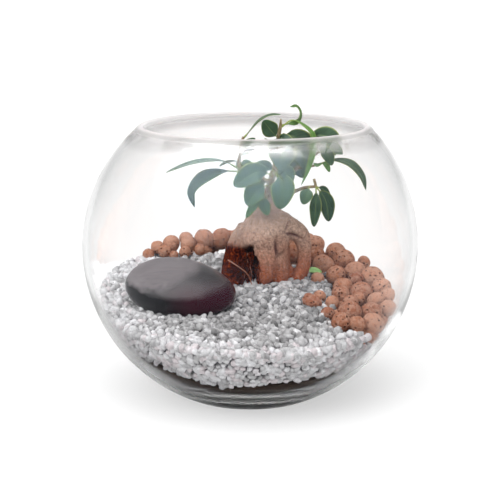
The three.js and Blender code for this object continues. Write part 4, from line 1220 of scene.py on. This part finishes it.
class BOWL_OT_trunk(bpy.types.Operator):
    """Grow the swollen trunk: limbs under one skin, furrowed along the grain, and its fine roots"""

    bl_idname = "planted_bowl.trunk"
    bl_label = "Ficus trunk"

    def execute(self, context):
        plant = context.scene.planted_ficus
        limbs = gathered([limb(s, 40, 36, 0.035, 1.3 * k) for k, s in enumerate(TRUNK_LIMBS)])
        mesh = melted("trunk", limbs, plant.skin_cell / MM, 6)
        count = len(mesh.vertices)
        points, normals = np.zeros(count * 3, np.float32), np.zeros(count * 3, np.float32)
        mesh.vertices.foreach_get("co", points)
        mesh.vertices.foreach_get("normal", normals)
        points, normals = points.reshape(-1, 3) / MM, normals.reshape(-1, 3)
        x, z = points[:, 0], points[:, 2]
        along_grain = points * (1, 1, 0.4)
        furrow = 0.22 * mottle(along_grain, 3.2, 1) + 0.16 * mottle(along_grain, 1.4, 2)
        lumps = 0.7 * mottle(points, 11, 3) + 0.35 * mottle(points, 5, 4)

        def dent(place, normal, width, reach):
            across = np.exp(-(((points - place) @ normal / width) ** 2))
            return across * np.exp(-(((points - place) / reach) ** 2).sum(1))

        slot = dent((20.3, 14, 106), (1, 0, 0.03), 1.1, (4, 8, 6.2))
        crease = dent((33, 22, 115), (0.42, 0, 0.91), 1.1, (9, 9, 9))
        crease = np.maximum(crease, 0.6 * dent((28.4, 22, 122.5), (0.94, 0, -0.34), 0.9, (4, 9, 5)))
        wander = 2.2 * mottle(points, 6, 6) + 0.8 * mottle(points, 2, 7)
        right_edge = 4 + 3.5 * smoothstep(104, 92, z) + wander
        rotten = smoothstep(111, 105, z + wander) * smoothstep(right_edge + 1.2, right_edge - 1.2, x)
        rotten *= smoothstep(34, 26, points[:, 1])
        # the hollow: dented in, and painted near black as its shade
        hollow_and_painted_shade = rotten * np.exp(-(((points - (0.5, 12, 101)) / (5.5, 14, 9)) ** 2).sum(1))
        push = lumps + furrow - 3.2 * slot - 2.2 * crease - 2.4 * hollow_and_painted_shade
        low_box, high_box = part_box("ficus_trunk")
        points = np.clip(points + push[:, None] * normals, np.array(low_box) / MM, np.array(high_box) / MM)
        mesh.vertices.foreach_set("co", (points * MM).astype(np.float32).ravel())
        mesh.update()
        bark = ficus_bark(tuple(plant.bark_high), tuple(plant.bark_low))
        # painted shade for the slot and the creases
        painted_crease_shade = np.clip(1.1 * slot + crease, 0, 1)
        spots = {"painted_crease_shade": painted_crease_shade, "rotten": rotten, "hollow_and_painted_shade": hollow_and_painted_shade}
        keep(mesh, [bark], "bark", "ficus_trunk", spots=spots)

        hairs = gathered([limb(s, 20, 8) for s in ROOT_HAIRS])
        bare = np.zeros(len(hairs[0]))
        keep(mesh_of("root_hairs", hairs), [bark], "bark", spots={"painted_crease_shade": bare, "rotten": bare, "hollow_and_painted_shade": bare})
        rng = np.random.default_rng(3)
        count = 130
        head = rng.uniform((-13, 14, 95), (3, 38, 105), (count, 3))
        foot = rng.uniform((-15, 9, 71), (5, 40, 76), (count, 3))
        belly = (head + foot) / 2 + rng.normal(0, 2, (count, 3))
        girth = rng.uniform(0.35, 0.9, (count, 1))
        strands = np.stack([np.hstack([p, girth * g]) for p, g in ((head, 1), (belly, 0.9), (foot, 0.5))], axis=1)
        mat = gathered([limb(s, 10, 6) for s in strands])
        # the fibres take the rot's colour and a faint painted shade of the hollow
        full = np.ones(len(mat[0]))
        keep(mesh_of("root_mat", mat), [bark], "bark", spots={"painted_crease_shade": 0 * full, "rotten": full, "hollow_and_painted_shade": 0.15 * full})
        return {"FINISHED"}


class BOWL_OT_leaves(bpy.types.Operator):
    """Set every shoot: twigs and leaves with ribs, veins and edges, and the fallen leaf"""

    bl_idname = "planted_bowl.leaves"
    bl_label = "Leafy shoots"

    def execute(self, context):
        plant = context.scene.planted_ficus
        leaf = ficus_leaf("ficus_leaf", tuple(plant.leaf_old), tuple(plant.leaf_young))
        twig = twig_bark()
        for name, (twigs, leaves) in SHOOTS.items():
            wood = [limb(stations, 24, 12, 0.04, k) for k, stations in enumerate(twigs)]
            blades = [blade(shape) for shape in leaves]
            surface = gathered(wood + [b[0] for b in blades])
            bare = sum(len(w[0]) for w in wood)
            place = np.vstack([np.zeros((bare, 3)), *(b[1] for b in blades)])
            age = np.concatenate([np.zeros(bare), *(b[2] for b in blades)])
            first = np.concatenate([surface[1][:, 0], surface[2][:, 0]])
            keep(
                mesh_of(name.replace("shoot", "leaves"), surface), [leaf, twig], "leaf", name,
                spots={"leaf_place": place, "leaf_age": age}, faces_of=first < bare,
            )  # fmt: skip
        surface, place, age = blade(FALLEN_LEAF)
        pale = ficus_leaf("pale_leaf", tuple(plant.leaf_old), paint(140, 182, 112))
        spots = {"leaf_place": place, "leaf_age": age}
        keep(mesh_of("dropped_leaf", surface), [pale], "young_leaf", "fallen_leaf", spots=spots)
        return {"FINISHED"}


class BOWL_OT_stage(bpy.types.Operator):
    """Set the pale floor, the soft studio light and the camera"""

    bl_idname = "planted_bowl.stage"
    bl_label = "Studio"

    def execute(self, context):
        stage, scene = context.scene.planted_stage, context.scene
        turn = np.linspace(0, 2 * math.pi, 96, endpoint=False)
        reach = np.array([0.02, 0.2, 1, 2.5, 8, 40])[:, None] / MM
        edge = np.stack([reach * np.cos(turn), reach * np.sin(turn), np.full((6, 96), -0.15)], axis=-1)
        under = edge[::-1] - (0, 0, 5)
        floor_mesh = mesh_of("floor", skin(np.concatenate([edge, under])))
        floor_mesh.materials.append(pale_floor(tuple(stage.floor), stage.glow))
        floor = bpy.data.objects.new("floor", floor_mesh)
        floor.visible_glossy = floor.visible_transmission = False
        scene.collection.objects.link(floor)

        world = bpy.data.worlds.new("white_studio")
        world.use_nodes = True
        add = adder(world.node_tree)
        back = world.node_tree.nodes["Background"]
        back.inputs["Color"].default_value = (1, 1, 1, 1)
        way = add("TexCoord").outputs["Generated"]
        depth, height = add("SeparateXYZ", {0: way}).outputs[1:]
        box = add("VectorMath", {0: way, 1: (-0.2, -0.45, 0.87)}, operation="DOT_PRODUCT").outputs["Value"]
        rays = add("LightPath").outputs
        mirrored = rays["Glossy Depth"]
        bright = level(add, mirrored, 0, 1, stage.softbox, stage.mirror_gain * stage.softbox)
        above = reckon(
            add, "MULTIPLY", level(add, box, 0.62, 0.9, stage.room, bright), level(add, depth, -0.9, -0.55, 0.4, 1)
        )
        below = level(add, mirrored, 0, 1, 1.02, level(add, height, -0.68, -0.3, stage.underneath, 1.02))
        step = times(add, level(add, height, 0.08, -0.06), reckon(add, "SUBTRACT", below, above))
        strength = level(add, rays["Is Camera Ray"], 0, 1, reckon(add, "ADD", above, step), 1.02)
        world.node_tree.links.new(strength, back.inputs["Strength"])
        scene.world = world
        for name, place, aim, size, power in (
            ("key", (-1.0, -1.3, 1.5), (0, 0, 0.08), 0.9, 9),
            ("fill", (1.2, -1.6, 0.8), (0, 0, 0.08), 1.2, 5),
        ):
            lamp = bpy.data.lights.new(name, "AREA")
            lamp.shape, lamp.size, lamp.energy = "DISK", size, power
            holder = bpy.data.objects.new(name, lamp)
            holder.location = place
            away = np.array(place) - aim
            level_out = math.hypot(away[0], away[1])
            holder.rotation_euler = (math.atan2(level_out, away[2]), 0, math.atan2(away[0], -away[1]))
            holder.visible_glossy = holder.visible_transmission = False
            scene.collection.objects.link(holder)

        camera = bpy.data.cameras.new("camera")
        camera.lens, camera.sensor_width = stage.lens, 36
        camera.clip_start, camera.clip_end = 0.05, 60
        holder = bpy.data.objects.new("camera", camera)
        holder.location = (0, -0.9776, 0.3226)
        holder.rotation_euler = (math.radians(90 - 12.36), 0, 0)
        scene.collection.objects.link(holder)
        scene.camera = holder
        scene.view_settings.view_transform = "Standard"
        scene.cycles.max_bounces = 64
        scene.cycles.glossy_bounces = 64
        scene.cycles.transmission_bounces = 64
        scene.cycles.transparent_max_bounces = 24
        return {"FINISHED"}


STEPS = (
    BOWL_OT_stage, BOWL_OT_glass, BOWL_OT_soil, BOWL_OT_gravel, BOWL_OT_clay, BOWL_OT_stone,
    BOWL_OT_trunk, BOWL_OT_leaves,
)  # fmt: skip
SETTINGS = {
    "planted_bowl": BowlSettings, "planted_beds": BedSettings, "planted_ficus": PlantSettings,
    "planted_stage": StageSettings,
}  # fmt: skip


class BOWL_PT_panel(bpy.types.Panel):
    """The planted bowl's pieces"""

    bl_idname = "BOWL_PT_panel"
    bl_label = "Planted Bowl"
    bl_space_type = "VIEW_3D"
    bl_region_type = "UI"
    bl_category = "Planted Bowl"

    def draw(self, context):
        for step in STEPS:
            self.layout.operator(step.bl_idname)
        for label, kind in SETTINGS.items():
            group = getattr(context.scene, label)
            for name in kind.__annotations__:
                self.layout.prop(group, name)


def register():
    for group in (*SETTINGS.values(), *STEPS, BOWL_PT_panel):
        bpy.utils.register_class(group)
    for label, group in SETTINGS.items():
        setattr(bpy.types.Scene, label, PointerProperty(type=group))


def unregister():
    for label in SETTINGS:
        delattr(bpy.types.Scene, label)
    for group in (BOWL_PT_panel, *reversed(STEPS), *reversed(SETTINGS.values())):
        bpy.utils.unregister_class(group)


def main():
    register()
    for step in STEPS:
        area, name = step.bl_idname.split(".")
        getattr(getattr(bpy.ops, area), name)()


if __name__ == "__main__":
    main()
